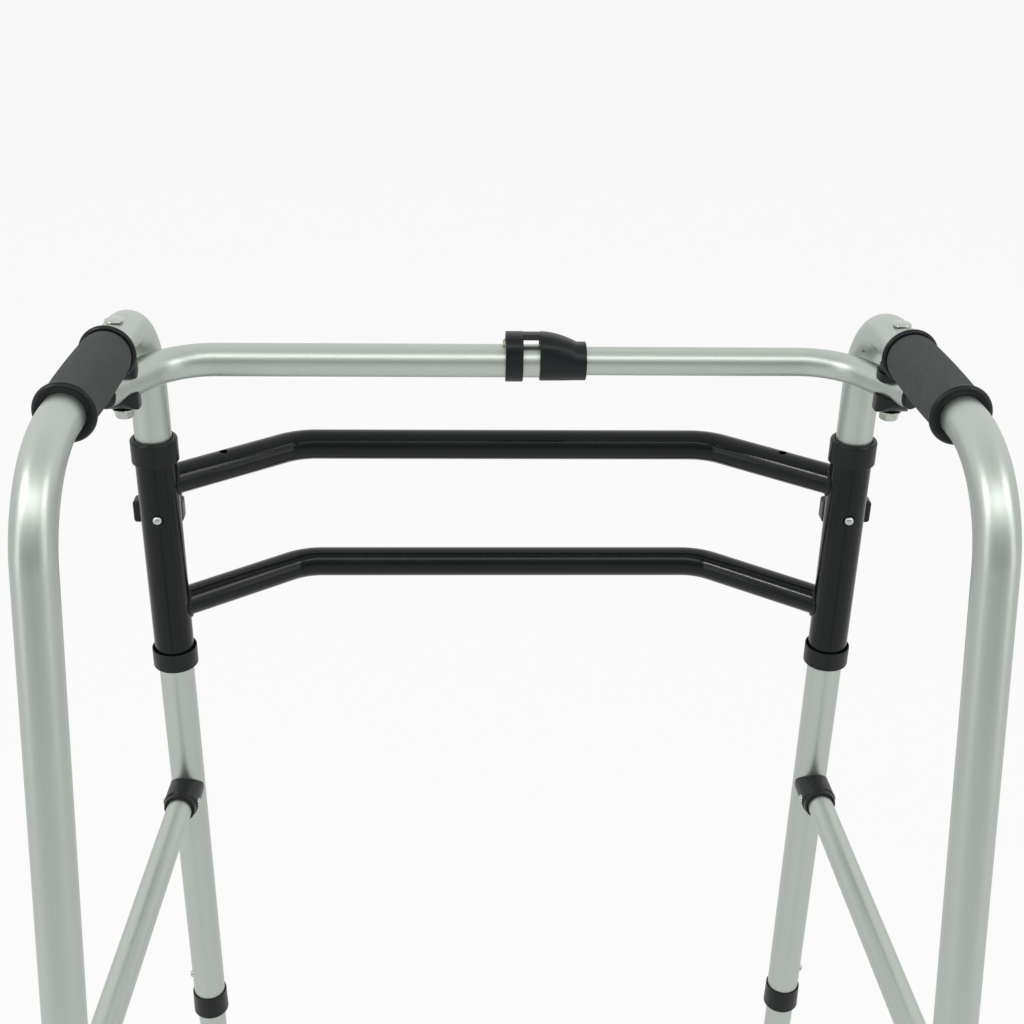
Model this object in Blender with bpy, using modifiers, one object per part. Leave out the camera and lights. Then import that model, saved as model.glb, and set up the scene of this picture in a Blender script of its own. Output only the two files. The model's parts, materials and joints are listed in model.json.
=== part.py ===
"""A reciprocal walker, in metres, +Z up, the user standing at -Y and facing +Y.

Two tubular side frames turn about their front legs in sleeves on a pair of bent crossbars.
A telescopic top bar with a latch ties the handles together, so that one side frame goes
forward as the other goes back. With the latch pressed, the side frames fold inwards.
"""

import math

import bmesh
import bpy
from mathutils import Matrix, Vector

# The whole walker. The origin is on the floor, in the middle of the walker's outer box.
HANDLE_HEIGHT = 0.890
AXIS_OFFSET = 0.245
AXIS_FORWARD = 0.1878
SPLAY = math.radians(2.5)
LEFT = -1
RIGHT = 1
SIDES = ((LEFT, "left"), (RIGHT, "right"))

# Gaps between neighbours, and how finely round things are divided.
GAP = 0.0003
ROUND = 16
BAR_ROUND = 12
SMALL_ROUND = 10
BEND_STEPS = 5

# Side frame tube, an upside-down U with a slanted rear leg.
LEG_RADIUS = 0.0127
LEG_WALL = 0.00125
FRONT_BEND = 0.0515
HANDLE_RUN = 0.137
REAR_BEND = 0.071
REAR_SLANT = math.radians(12.0)
LEG_END = 0.265

# Telescopic leg tubes, with one sprung button each and a row of holes for it.
SLIDE_RADIUS = 0.0111
SLIDE_WALL = 0.0012
SLIDE_TOP = 0.325
BUTTON_HEIGHT = 0.300
HOLE_PITCH = 0.0254
HOLE_COUNT = 7
BUTTON_RADIUS = 0.0031
BUTTON_HOLE = 0.0035
BUTTON_REACH = 0.0150

# Bush in a leg's mouth, and the rubber tip.
BUSH_RADIUS = 0.0143
BUSH_LIP = 0.0030
BUSH_LENGTH = 0.0215
TIP_HEIGHT = 0.044
TIP_FLOOR = 0.007
TIP_RADIUS = 0.0195
TIP_TOP_RADIUS = 0.0145
TIP_BORE = 0.0114

# Side brace between a front and a rear leg.
BRACE_HEIGHT = 0.500
BRACE_RADIUS = 0.0095
BRACE_WALL = 0.0012
BRACE_SADDLE_RADIUS = 0.0130
BRACE_SADDLE_LENGTH = 0.034
LEG_COPE = 0.0132

# Front frame. Heights with DROP in their name are measured down from the handle's centre.
SLEEVE_RADIUS = 0.0143
SLEEVE_BORE = 0.0132
SLEEVE_TOP_DROP = 0.097
SLEEVE_END_DROP = 0.275
SLEEVE_COPE = 0.0148
COLLAR_RADIUS = 0.0164
TOP_COLLAR_DROPS = (0.094, 0.1115)
BOTTOM_COLLAR_DROPS = (0.2635, 0.2785)
CROSSBAR_RADIUS = 0.0110
CROSSBAR_WALL = 0.0015
CROSSBAR_DROPS = (("upper_crossbar", 0.130), ("lower_crossbar", 0.230))
CROSSBAR_CORNER = 0.153
CROSSBAR_FORWARD = 0.068
CROSSBAR_BEND = 0.040
DRAIN_OFFSET = 0.203
DRAIN_RADIUS = 0.0030

# Stop clip behind each sleeve, with its pin through the sleeve and the leg.
STOP_DROP = 0.152
STOP_RADIUS = 0.0033
STOP_HOLE = 0.0037
STOP_TIP_HOLE = 0.0041
STOP_TIP = -0.0168
STOP_HEAD = 0.0243
CLIP_SIZE = (0.0355, 0.013, 0.017)
CLIP_OUT = 0.0042
CLIP_BACK = 0.008
CLIP_DROP = 0.157
SLOT_HALF_ANGLE = 19.0
SLOT_HALF_HEIGHT = 0.0038

# How far a side frame turns from rest, in degrees: outwards, and inwards.
TURNS_OUT = 6.5
TURNS_IN = {LEFT: 92.5, RIGHT: 80.5}

# Grip on each handle, measured back from the front-leg axis.
GRIP_START = 0.0825
GRIP_END = 0.180
FRONT_FLANGE = (0.0179, 0.0042)
REAR_FLANGE = (0.0185, 0.0055)
GRIP_BORE = 0.01305
GRIP_SLEEVE_RADIUS = 0.0142
FOAM_RADIUS = 0.0168

# Top bar. Each end turns back by less than a right angle and crosses under a handle.
BAR_DROP = 0.0293
BAR_SETBACK = 0.019
BAR_TURN = math.radians(58.0)
BAR_BEND = 0.050
BAR_BEND_STEPS = 6
BAR_OVERHANG = 0.0165
BAR_OUTER_RADIUS = 0.0111
BAR_OUTER_WALL = 0.0010
BAR_INNER_RADIUS = 0.009525
BAR_INNER_WALL = 0.0012
BAR_MOUTH = 0.042
BAR_INNER_END = -0.060
GUIDE_RADIUS = 0.0078
GUIDE_SPAN = (-0.058, -0.028)

# Pivots under the handles: bolt, saddles and nut.
PIVOT_BACK = 0.062
BOLT_RADIUS = 0.0030
BOLT_HOLE = 0.0033
BOLT_HEAD = 0.0062
BOLT_HEAD_HEIGHT = 0.0018
BOLT_END_DROP = 0.0524
UPPER_SADDLE = (0.0245, 0.022)
LOWER_SADDLE = (0.0245, 0.022)
SADDLE_CORNER = 0.0107
SADDLE_TOP_DROP = 0.0135
SADDLE_SKIRT_DROP = 0.0240
LOWER_SADDLE_DROPS = (0.0343, 0.0450)
SPACER_RADIUS = 0.0100
SPACER_END_DROP = 0.0180
RIGHT_SADDLE_TOP_DROP = 0.0183
NUT_TOP_DROP = 0.0453
NUT_FLANGE = (0.0075, 0.0012)
NUT_HEX = (0.0064, 0.0052)

# Latch on the bar. Places along the bar are x, and heights are above the bar's axis.
LATCH_PIVOT = 0.047
STRAP_SPAN = (-0.0023, 0.0094)
COWL_SPAN = (0.0205, 0.0453, 0.0515)
STRAP_RADIUS = 0.0139
COWL_RADIUS = 0.0132
COLLAR_END_RADIUS = 0.0129
LATCH_BORE = 0.0117
LATCH_COLLAR_BORE = 0.0114
OUTER_ROOF = ((0.0134, 0.0050), (0.0126, 0.0105), (0.0110, 0.0156), (0.0030, 0.0198))
INNER_ROOF = ((0.0117, 0.0050), (0.0112, 0.0095), (0.0094, 0.0138), (0.0030, 0.0162))
ROOF_ANGLES = (20.0, 40.0, 58.0, 76.0)
COWL_STATIONS = 5
COWL_FALL = 1.9
RIB = (0.0056, 0.0162, 0.0198)
TRUNNION_RADIUS = 0.0018
TRUNNION_HOLE = 0.0021
TRUNNION_REACH = 0.0126
MOUTH_BUSH = (0.00985, 0.0109, 0.0423, 0.0500)
LATCH_PIN_PLACE = 0.0035
LATCH_PIN_RADIUS = 0.0020
LATCH_PIN_HOLE = 0.0023
LATCH_PIN_HEIGHTS = (-0.0138, -0.0099)
SPRING_PLACE = 0.0012
SPRING_RADIUS = 0.0054
SPRING_WIRE = 0.0004
SPRING_HEIGHTS = (0.0118, 0.0146)
SPRING_TURNS = 2
SPRING_POINTS_A_TURN = 10

# Finishes: colour, roughness and metallic value.
FINISHES = {
    "anodised_aluminium": ((0.62, 0.66, 0.63), 0.35, 0.9),
    "black_gloss_paint": ((0.010, 0.014, 0.013), 0.18, 0.0),
    "black_plastic": ((0.018, 0.020, 0.022), 0.40, 0.0),
    "grey_foam": ((0.055, 0.060, 0.058), 0.90, 0.0),
    "zinc_steel": ((0.60, 0.64, 0.62), 0.30, 1.0),
    "spring_brass": ((0.55, 0.42, 0.20), 0.35, 1.0),
    "white_nylon": ((0.75, 0.75, 0.72), 0.50, 0.0),
    "dark_rubber": ((0.030, 0.030, 0.032), 0.80, 0.0),
}

BAR_HEIGHT = HANDLE_HEIGHT - BAR_DROP
BAR_Y = AXIS_FORWARD - BAR_SETBACK


# Scene and finishes

def clear_scene():
    """Remove every object of the scene."""
    for thing in list(bpy.data.objects):
        bpy.data.objects.remove(thing, do_unlink=True)


def new_collection(name):
    """A collection linked to the scene."""
    group = bpy.data.collections.new(name)
    bpy.context.scene.collection.children.link(group)
    return group


def new_finish(name):
    """A Principled material from the table of finishes."""
    colour, roughness, metallic = FINISHES[name]
    material = bpy.data.materials.new(name)
    material.use_nodes = True
    shader = material.node_tree.nodes["Principled BSDF"]
    shader.inputs["Base Color"].default_value = (*colour, 1.0)
    shader.inputs["Roughness"].default_value = roughness
    shader.inputs["Metallic"].default_value = metallic
    return material


clear_scene()
PARTS = new_collection("reciprocal_walker")
CUTTERS = new_collection("cutters")


# Shapes

def add_object(name, mesh, finish):
    """An object for a mesh: a part with its own material, or a hidden cutter without one."""
    thing = bpy.data.objects.new(name, mesh)
    if finish is None:
        CUTTERS.objects.link(thing)
        thing.hide_render = True
        thing.display_type = "WIRE"
        return thing
    PARTS.objects.link(thing)
    material = new_finish(finish)
    material.name = name + "_finish"
    mesh.materials.append(material)
    mesh.shade_smooth()
    mesh.set_sharp_from_angle(angle=math.radians(35.0))
    return thing


def mesh_from_bmesh(name, shape):
    """A mesh that holds a bmesh, which is freed."""
    mesh = bpy.data.meshes.new(name)
    shape.to_mesh(mesh)
    shape.free()
    return mesh


def mesh_from_curve(name, curve):
    """The welded mesh of a curve, which is removed."""
    holder = bpy.data.objects.new(name + "_curve", curve)
    bpy.context.scene.collection.objects.link(holder)
    evaluated = holder.evaluated_get(bpy.context.evaluated_depsgraph_get())
    mesh = bpy.data.meshes.new_from_object(evaluated)
    bpy.data.objects.remove(holder, do_unlink=True)
    bpy.data.curves.remove(curve)
    shape = bmesh.new()
    shape.from_mesh(mesh)
    bmesh.ops.remove_doubles(shape, verts=shape.verts, dist=0.000001)
    bpy.data.meshes.remove(mesh)
    return mesh_from_bmesh(name, shape)


def swept_tube(name, points, radius, finish, wall=None, sides=ROUND):
    """A tube along points, hollow and open at both ends where it has a wall."""
    curve = bpy.data.curves.new(name, "CURVE")
    curve.dimensions = "3D"
    curve.bevel_depth = radius
    curve.bevel_resolution = (sides - 4) // 2
    curve.use_fill_caps = wall is None
    spline = curve.splines.new("POLY")
    spline.points.add(len(points) - 1)
    for knot, point in zip(spline.points, points):
        knot.co = (*point, 1.0)
    tube = add_object(name, mesh_from_curve(name, curve), finish)
    if wall is not None:
        shell = tube.modifiers.new("wall", "SOLIDIFY")
        shell.thickness = wall
        shell.offset = -1.0
    return tube


def plate(name, outlines, low, high, frame, finish):
    """A flat outline, with its holes, between two heights of a frame."""
    curve = bpy.data.curves.new(name, "CURVE")
    curve.dimensions = "2D"
    curve.fill_mode = "BOTH"
    curve.extrude = (high - low) / 2
    for outline in outlines:
        spline = curve.splines.new("POLY")
        spline.points.add(len(outline) - 1)
        for knot, point in zip(spline.points, outline):
            knot.co = (point[0], point[1], 0.0, 1.0)
        spline.use_cyclic_u = True
    thing = add_object(name, mesh_from_curve(name, curve), finish)
    thing.matrix_world = frame @ Matrix.Translation((0.0, 0.0, (low + high) / 2))
    return thing


def turned(name, profile, frame, finish, closed=True, steps=ROUND):
    """A profile of (radius, height) pairs turned about a frame's Z axis, outer side downwards."""
    mesh = bpy.data.meshes.new(name)
    edges = [(index, index + 1) for index in range(len(profile) - 1)]
    if closed:
        edges.append((len(profile) - 1, 0))
    mesh.from_pydata([(radius, 0.0, height) for radius, height in profile], edges, [])
    thing = add_object(name, mesh, finish)
    thing.matrix_world = frame
    screw = thing.modifiers.new("turn", "SCREW")
    screw.steps = steps
    screw.render_steps = steps
    screw.use_merge_vertices = True
    screw.merge_threshold = 0.000001
    screw.use_smooth_shade = True
    return thing


def ring(name, bore, radius, low, high, frame, finish, steps=ROUND):
    """A plain turned ring."""
    profile = ((radius, high), (radius, low), (bore, low), (bore, high))
    return turned(name, profile, frame, finish, steps=steps)


def rod(name, start, end, radius, finish=None, sides=SMALL_ROUND):
    """A straight solid cylinder between two points."""
    start, end = Vector(start), Vector(end)
    axis = end - start
    turn = axis.to_track_quat("Z", "Y").to_matrix().to_4x4()
    shape = bmesh.new()
    bmesh.ops.create_cone(shape, cap_ends=True, segments=sides, radius1=radius, radius2=radius,
                          depth=axis.length, matrix=Matrix.Translation((start + end) / 2) @ turn)
    return add_object(name, mesh_from_bmesh(name, shape), finish)


def block(name, size, centre, finish, turn=None):
    """A box of a size about a centre."""
    shape = bmesh.new()
    bmesh.ops.create_cube(shape, size=1.0, matrix=Matrix.Diagonal((*size, 1.0)))
    thing = add_object(name, mesh_from_bmesh(name, shape), finish)
    thing.matrix_world = Matrix.Translation(centre) @ (turn or Matrix.Identity(4))
    return thing


def bevel(piece, width):
    """Round the edges of a piece."""
    modifier = piece.modifiers.new("edges", "BEVEL")
    modifier.width = width
    modifier.segments = 1


def combine(piece, operation, others):
    """Cut other objects from a piece, or join them to it, and keep them among the cutters."""
    for other in others:
        modifier = piece.modifiers.new(operation.lower(), "BOOLEAN")
        modifier.operation = operation
        modifier.object = other


def cut(piece, *cutters):
    """Cut each of the cutters from a piece."""
    combine(piece, "DIFFERENCE", cutters)


def join(piece, *others):
    """Join shapes to a piece."""
    combine(piece, "UNION", others)


# Places

def frame_at(origin, z_axis, x_axis):
    """A right-handed frame from its origin, its Z axis and its X axis."""
    z_axis = Vector(z_axis).normalized()
    x_axis = Vector(x_axis).normalized()
    y_axis = z_axis.cross(x_axis)
    turn = Matrix((x_axis, y_axis, z_axis)).transposed().to_4x4()
    return Matrix.Translation(origin) @ turn


def side_point(sign, back, height, out=0.0):
    """A point of a side frame: how far behind its front leg, how high and how far outwards."""
    across = AXIS_OFFSET + back * math.sin(SPLAY) + out * math.cos(SPLAY)
    forward = AXIS_FORWARD - back * math.cos(SPLAY) + out * math.sin(SPLAY)
    return Vector((sign * across, forward, height))


def backwards(sign):
    """The level direction along a side frame, away from its front leg."""
    return Vector((sign * math.sin(SPLAY), -math.cos(SPLAY), 0.0))


def outwards(sign):
    """The level direction square to a side frame, away from the user."""
    return Vector((sign * math.cos(SPLAY), math.sin(SPLAY), 0.0))


def axis_point(sign, drop=0.0):
    """A point on a front-leg axis, so far below the handle's centre."""
    return Vector((sign * AXIS_OFFSET, AXIS_FORWARD, HANDLE_HEIGHT - drop))


def arc(centre, radius, start, end, steps):
    """Points on an arc between two angles in radians."""
    angles = [start + (end - start) * step / steps for step in range(steps + 1)]
    return [(centre[0] + radius * math.cos(angle), centre[1] + radius * math.sin(angle))
            for angle in angles]


def rear_bend_centre():
    """The centre of a side tube's rear bend, as back and height."""
    return FRONT_BEND + HANDLE_RUN, HANDLE_HEIGHT - REAR_BEND


def rear_leg_back(height):
    """How far back the slanted rear leg's axis is at a height."""
    back, up = rear_bend_centre()
    knee_back = back + REAR_BEND * math.cos(REAR_SLANT)
    knee_height = up + REAR_BEND * math.sin(REAR_SLANT)
    return knee_back + (knee_height - height) * math.tan(REAR_SLANT)


def side_outline():
    """The centreline of a side tube as back and height, from front mouth to rear mouth."""
    front = (FRONT_BEND, HANDLE_HEIGHT - FRONT_BEND)
    path = [(0.0, LEG_END)]
    path += arc(front, FRONT_BEND, math.pi, math.pi / 2, BEND_STEPS)
    path += arc(rear_bend_centre(), REAR_BEND, math.pi / 2, REAR_SLANT, BEND_STEPS)
    path.append((rear_leg_back(LEG_END), LEG_END))
    return path


def leg_slant(end):
    """The slant of a front or a rear leg."""
    return REAR_SLANT if end == "rear" else 0.0


def leg_back(end, height):
    """How far back a leg's axis is at a height."""
    return rear_leg_back(height) if end == "rear" else 0.0


def leg_frame(sign, end):
    """A leg's frame: origin on the floor, Z up along the leg and X outwards."""
    foot = side_point(sign, leg_back(end, 0.0), 0.0)
    top = side_point(sign, leg_back(end, LEG_END), LEG_END)
    return frame_at(foot, top - foot, outwards(sign))


def along_leg(end, height):
    """The distance along a leg from the floor to a height."""
    return height / math.cos(leg_slant(end))


def bar_end_direction(sign):
    """The level direction of an end of the top bar, outwards and back."""
    return Vector((sign * math.cos(BAR_TURN), -math.sin(BAR_TURN), 0.0))


def bar_end(sign):
    """The end of the top bar, a little past its bolt."""
    return side_point(sign, PIVOT_BACK, BAR_HEIGHT) + bar_end_direction(sign) * BAR_OVERHANG


def bar_path(sign, reach):
    """The centreline of one half of the top bar, from its end to a place across the walker."""
    end = bar_end(sign)
    corner = end - bar_end_direction(sign) * (BAR_Y - end.y) / math.sin(BAR_TURN)
    centre_x = corner.x - sign * BAR_BEND * math.tan(BAR_TURN / 2)
    path = [end]
    for across, forward in arc((0.0, 0.0), BAR_BEND, math.pi / 2 - BAR_TURN, math.pi / 2,
                               BAR_BEND_STEPS):
        path.append(Vector((centre_x + sign * across, BAR_Y - BAR_BEND + forward, BAR_HEIGHT)))
    path.append(Vector((reach, BAR_Y, BAR_HEIGHT)))
    return path


# Front frame

def make_sleeve(sign, side):
    """The tube that a front leg turns in, drilled through for its stop pin."""
    frame = Matrix.Translation(axis_point(sign))
    sleeve = ring(side + "_sleeve", SLEEVE_BORE, SLEEVE_RADIUS, -SLEEVE_END_DROP,
                  -SLEEVE_TOP_DROP, frame, "black_gloss_paint")
    middle = axis_point(sign, STOP_DROP)
    back = middle - Vector((0.0, 0.020, 0.0))
    front = middle + Vector((0.0, 0.020, 0.0))
    tip_hole = rod(side + "_tip_hole", back, middle, STOP_TIP_HOLE, sides=12)
    pin_hole = rod(side + "_pin_hole", middle, front, STOP_HOLE, sides=12)
    cut(sleeve, tip_hole, pin_hole)
    return sleeve


def make_top_collar(sign, side):
    """The ring that turns on a sleeve's end and bears on the leg, with a rounded top rim."""
    top, low = TOP_COLLAR_DROPS
    leg_bore = LEG_RADIUS + 0.0005
    ledge = -SLEEVE_TOP_DROP + GAP
    profile = (
        (0.0149, -top),
        (0.0160, -top - 0.0007),
        (COLLAR_RADIUS, -top - 0.0022),
        (COLLAR_RADIUS, -low),
        (SLEEVE_COPE, -low),
        (SLEEVE_COPE, ledge),
        (leg_bore, ledge),
        (leg_bore, -top),
    )
    frame = Matrix.Translation(axis_point(sign))
    return turned(side + "_top_collar", profile, frame, "black_plastic")


def make_bottom_collar(sign, side):
    """The cup under a sleeve's end, with an open groove around its rim."""
    top, low = BOTTOM_COLLAR_DROPS
    groove = 0.0154
    profile = (
        (COLLAR_RADIUS, -top),
        (COLLAR_RADIUS, -low),
        (SLEEVE_BORE, -low),
        (SLEEVE_BORE, -SLEEVE_END_DROP - GAP),
        (SLEEVE_COPE, -SLEEVE_END_DROP - GAP),
        (SLEEVE_COPE, -top - 0.0045),
        (groove, -top - 0.0040),
        (groove, -top),
    )
    frame = Matrix.Translation(axis_point(sign))
    return turned(side + "_bottom_collar", profile, frame, "black_plastic")


def crossbar_plan():
    """The centreline of a crossbar in plan, from leg axis to leg axis."""
    slope = math.atan2(CROSSBAR_FORWARD, AXIS_OFFSET - CROSSBAR_CORNER)
    tangent = CROSSBAR_BEND * math.tan(slope / 2)
    centre = (CROSSBAR_CORNER - tangent, CROSSBAR_FORWARD - CROSSBAR_BEND)
    bend = arc(centre, CROSSBAR_BEND, math.pi / 2, math.pi / 2 - slope, 4)
    right_half = bend + [(AXIS_OFFSET, 0.0)]
    left_half = [(-across, forward) for across, forward in reversed(right_half)]
    return left_half + right_half


def make_crossbar(name, drop):
    """A bent crossbar, coped to the sleeves at both ends."""
    height = HANDLE_HEIGHT - drop
    path = [(across, AXIS_FORWARD + forward, height) for across, forward in crossbar_plan()]
    bar = swept_tube(name, path, CROSSBAR_RADIUS, "black_gloss_paint", wall=CROSSBAR_WALL,
                     sides=BAR_ROUND)
    for sign, side in SIDES:
        foot = axis_point(sign, drop + 0.03)
        top = axis_point(sign, drop - 0.03)
        cut(bar, rod("_".join((name, side, "cope")), foot, top, SLEEVE_COPE, sides=ROUND))
    return bar


def drill_upper_crossbar(bar):
    """The small hole in the top of each slanted end of the upper crossbar."""
    slope = CROSSBAR_FORWARD / (AXIS_OFFSET - CROSSBAR_CORNER)
    forward = AXIS_FORWARD + (AXIS_OFFSET - DRAIN_OFFSET) * slope
    height = HANDLE_HEIGHT - CROSSBAR_DROPS[0][1]
    for sign, side in SIDES:
        low = (sign * DRAIN_OFFSET, forward, height)
        high = (sign * DRAIN_OFFSET, forward, height + 0.020)
        cut(bar, rod(side + "_drain_hole", low, high, DRAIN_RADIUS))


def make_stop(sign, side):
    """The clip block behind a sleeve, and the domed steel pin that it carries."""
    middle = axis_point(sign, STOP_DROP)
    centre = axis_point(sign, CLIP_DROP)
    centre += Vector((sign * CLIP_OUT, CLIP_BACK + CLIP_SIZE[1] / 2, 0.0))
    clip = block(side + "_stop_clip", CLIP_SIZE, centre, "black_plastic")
    bevel(clip, 0.0022)
    cope = rod(side + "_clip_cope", axis_point(sign, CLIP_DROP + 0.03),
               axis_point(sign, CLIP_DROP - 0.03), SLEEVE_COPE, sides=ROUND)
    bore = rod(side + "_clip_bore", middle, middle + Vector((0.0, 0.040, 0.0)), STOP_HOLE)
    cut(clip, cope, bore)
    head_start = CLIP_BACK + CLIP_SIZE[1] + GAP
    profile = (
        (0.0, STOP_HEAD),
        (0.0045, STOP_HEAD),
        (0.0055, STOP_HEAD - 0.0007),
        (0.0055, head_start),
        (STOP_RADIUS, head_start),
        (STOP_RADIUS, STOP_TIP + 0.0022),
        (0.0024, STOP_TIP + 0.0006),
        (0.0, STOP_TIP),
    )
    frame = frame_at(middle, (0.0, 1.0, 0.0), (1.0, 0.0, 0.0))
    pin = turned(side + "_stop_pin", profile, frame, "zinc_steel", closed=False,
                 steps=SMALL_ROUND)
    return clip, pin


# Side frames

def sector(inner, outer, start, end):
    """The outline of a slice of a ring between two angles in degrees."""
    steps = max(2, round((end - start) / 15.0))
    first, last = math.radians(start), math.radians(end)
    near = arc((0.0, 0.0), inner, last, first, steps)
    return arc((0.0, 0.0), outer, first, last, steps) + near


def stop_slots(sign, side):
    """Cutters for the two slots that let a leg turn about its stop pin."""
    back = {LEFT: TURNS_IN[LEFT], RIGHT: TURNS_OUT}[sign]
    ahead = {LEFT: TURNS_OUT, RIGHT: TURNS_IN[RIGHT]}[sign]
    frame = Matrix.Translation(axis_point(sign, STOP_DROP))
    slots = []
    for name, rest in (("front", 90.0), ("back", 270.0)):
        start = rest - back - SLOT_HALF_ANGLE
        end = rest + ahead + SLOT_HALF_ANGLE
        outline = sector(0.009, 0.0145, start, end)
        slots.append(plate("_".join((side, name, "stop_slot")), [outline], -SLOT_HALF_HEIGHT,
                           SLOT_HALF_HEIGHT, frame, None))
    return slots


def button_holes(sign, side, end):
    """One cutter with the row of button holes of a leg."""
    frame = leg_frame(sign, end)
    shape = bmesh.new()
    for index in range(HOLE_COUNT):
        height = along_leg(end, BUTTON_HEIGHT + index * HOLE_PITCH)
        place = frame @ Matrix.Translation((0.0125, 0.0, height))
        place = place @ Matrix.Rotation(math.pi / 2, 4, "Y")
        bmesh.ops.create_cone(shape, cap_ends=True, segments=8, radius1=BUTTON_HOLE,
                              radius2=BUTTON_HOLE, depth=0.010, matrix=place)
    name = "_".join((side, end, "button_holes"))
    return add_object(name, mesh_from_bmesh(name, shape), None)


def make_side_tube(sign, side):
    """A side frame's bent tube with all its holes and slots."""
    path = [side_point(sign, back, height) for back, height in side_outline()]
    tube = swept_tube(side + "_side_tube", path, LEG_RADIUS, "anodised_aluminium", wall=LEG_WALL)
    bolt_hole = rod(side + "_bolt_hole", side_point(sign, PIVOT_BACK, HANDLE_HEIGHT - 0.020),
                    side_point(sign, PIVOT_BACK, HANDLE_HEIGHT + 0.020), BOLT_HOLE)
    cut(tube, bolt_hole, *stop_slots(sign, side))
    cut(tube, button_holes(sign, side, "front"), button_holes(sign, side, "rear"))
    return tube


def make_grip(sign, side):
    """The plastic grip sleeve with its two flanges, and the foam between them."""
    frame = frame_at(side_point(sign, 0.0, HANDLE_HEIGHT), backwards(sign), (0.0, 0.0, 1.0))
    front_radius, front_width = FRONT_FLANGE
    rear_radius, rear_width = REAR_FLANGE
    front_face = GRIP_START + front_width
    rear_face = GRIP_END - rear_width
    profile = (
        (rear_radius - 0.0012, GRIP_END),
        (rear_radius, GRIP_END - 0.0014),
        (rear_radius, rear_face),
        (GRIP_SLEEVE_RADIUS, rear_face),
        (GRIP_SLEEVE_RADIUS, front_face),
        (front_radius, front_face),
        (front_radius, GRIP_START + 0.0012),
        (front_radius - 0.0010, GRIP_START),
        (GRIP_BORE, GRIP_START),
        (GRIP_BORE, GRIP_END),
    )
    sleeve = turned(side + "_grip_sleeve", profile, frame, "black_plastic")
    foam = ring(side + "_grip_foam", GRIP_SLEEVE_RADIUS + GAP, FOAM_RADIUS, front_face + GAP,
                rear_face - GAP, frame, "grey_foam")
    return sleeve, foam


def leg_cope(sign, side, end, purpose):
    """A cutter along a leg at the side brace."""
    low = side_point(sign, leg_back(end, BRACE_HEIGHT - 0.03), BRACE_HEIGHT - 0.03)
    high = side_point(sign, leg_back(end, BRACE_HEIGHT + 0.03), BRACE_HEIGHT + 0.03)
    return rod("_".join((side, end, purpose, "cope")), low, high, LEG_COPE, sides=ROUND)


def make_brace(sign, side):
    """The side brace and its two saddles, coped to the legs."""
    rear = leg_back("rear", BRACE_HEIGHT)
    path = [side_point(sign, back, BRACE_HEIGHT) for back in (0.006, rear - 0.006)]
    brace = swept_tube(side + "_side_brace", path, BRACE_RADIUS, "anodised_aluminium",
                       wall=BRACE_WALL)
    pieces = [brace]
    for end, place, inwards in (("front", 0.0, 1.0), ("rear", rear, -1.0)):
        cut(brace, leg_cope(sign, side, end, "brace"))
        frame = frame_at(side_point(sign, place, BRACE_HEIGHT), inwards * backwards(sign),
                         (0.0, 0.0, 1.0))
        saddle = ring("_".join((side, end, "brace_saddle")), BRACE_RADIUS + 0.00035,
                      BRACE_SADDLE_RADIUS, 0.004, BRACE_SADDLE_LENGTH, frame, "black_plastic")
        cut(saddle, leg_cope(sign, side, end, "saddle"))
        pieces.append(saddle)
    return pieces


# Telescopic legs

def make_bushing(name, end, frame):
    """The plastic bush in a leg's mouth, which the leg tube slides in."""
    mouth = along_leg(end, LEG_END)
    slide = SLIDE_RADIUS + 0.0004
    around = LEG_RADIUS + 0.0004
    profile = (
        (BUSH_RADIUS - 0.0004, mouth + BUSH_LENGTH - BUSH_LIP),
        (BUSH_RADIUS, mouth - BUSH_LIP + 0.0010),
        (BUSH_RADIUS - 0.0008, mouth - BUSH_LIP),
        (slide, mouth - BUSH_LIP),
        (slide, mouth - GAP),
        (around, mouth - GAP),
        (around, mouth + BUSH_LENGTH - BUSH_LIP),
    )
    return turned(name, profile, frame, "black_plastic")


def make_leg_tube(name, end, frame):
    """A telescopic leg tube with the hole for its button."""
    tube = ring(name, SLIDE_RADIUS - SLIDE_WALL, SLIDE_RADIUS, along_leg(end, TIP_FLOOR) + GAP,
                along_leg(end, SLIDE_TOP), frame, "anodised_aluminium")
    height = along_leg(end, BUTTON_HEIGHT)
    near = frame @ Vector((0.006, 0.0, height))
    far = frame @ Vector((0.016, 0.0, height))
    cut(tube, rod(name + "_button_hole", near, far, BUTTON_HOLE))
    return tube


def make_button(name, end, frame):
    """A domed height button on the near leaf of its spring."""
    height = along_leg(end, BUTTON_HEIGHT)
    place = frame @ Matrix.Translation((0.0, 0.0, height)) @ Matrix.Rotation(math.pi / 2, 4, "Y")
    profile = (
        (0.0, BUTTON_REACH),
        (0.0017, BUTTON_REACH - 0.0004),
        (BUTTON_RADIUS, BUTTON_REACH - 0.0018),
        (BUTTON_RADIUS, 0.0084),
        (0.0044, 0.0084),
        (0.0044, 0.0072),
        (0.0, 0.0072),
    )
    button = turned(name, profile, place, "zinc_steel", closed=False, steps=SMALL_ROUND)
    leaf = block(name + "_leaf", (0.026, 0.0066, 0.0009), (0.0, 0.0, 0.0), None)
    leaf.matrix_world = place @ Matrix.Translation((0.008, 0.0, 0.0071))
    join(button, leaf)
    return button


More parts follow.
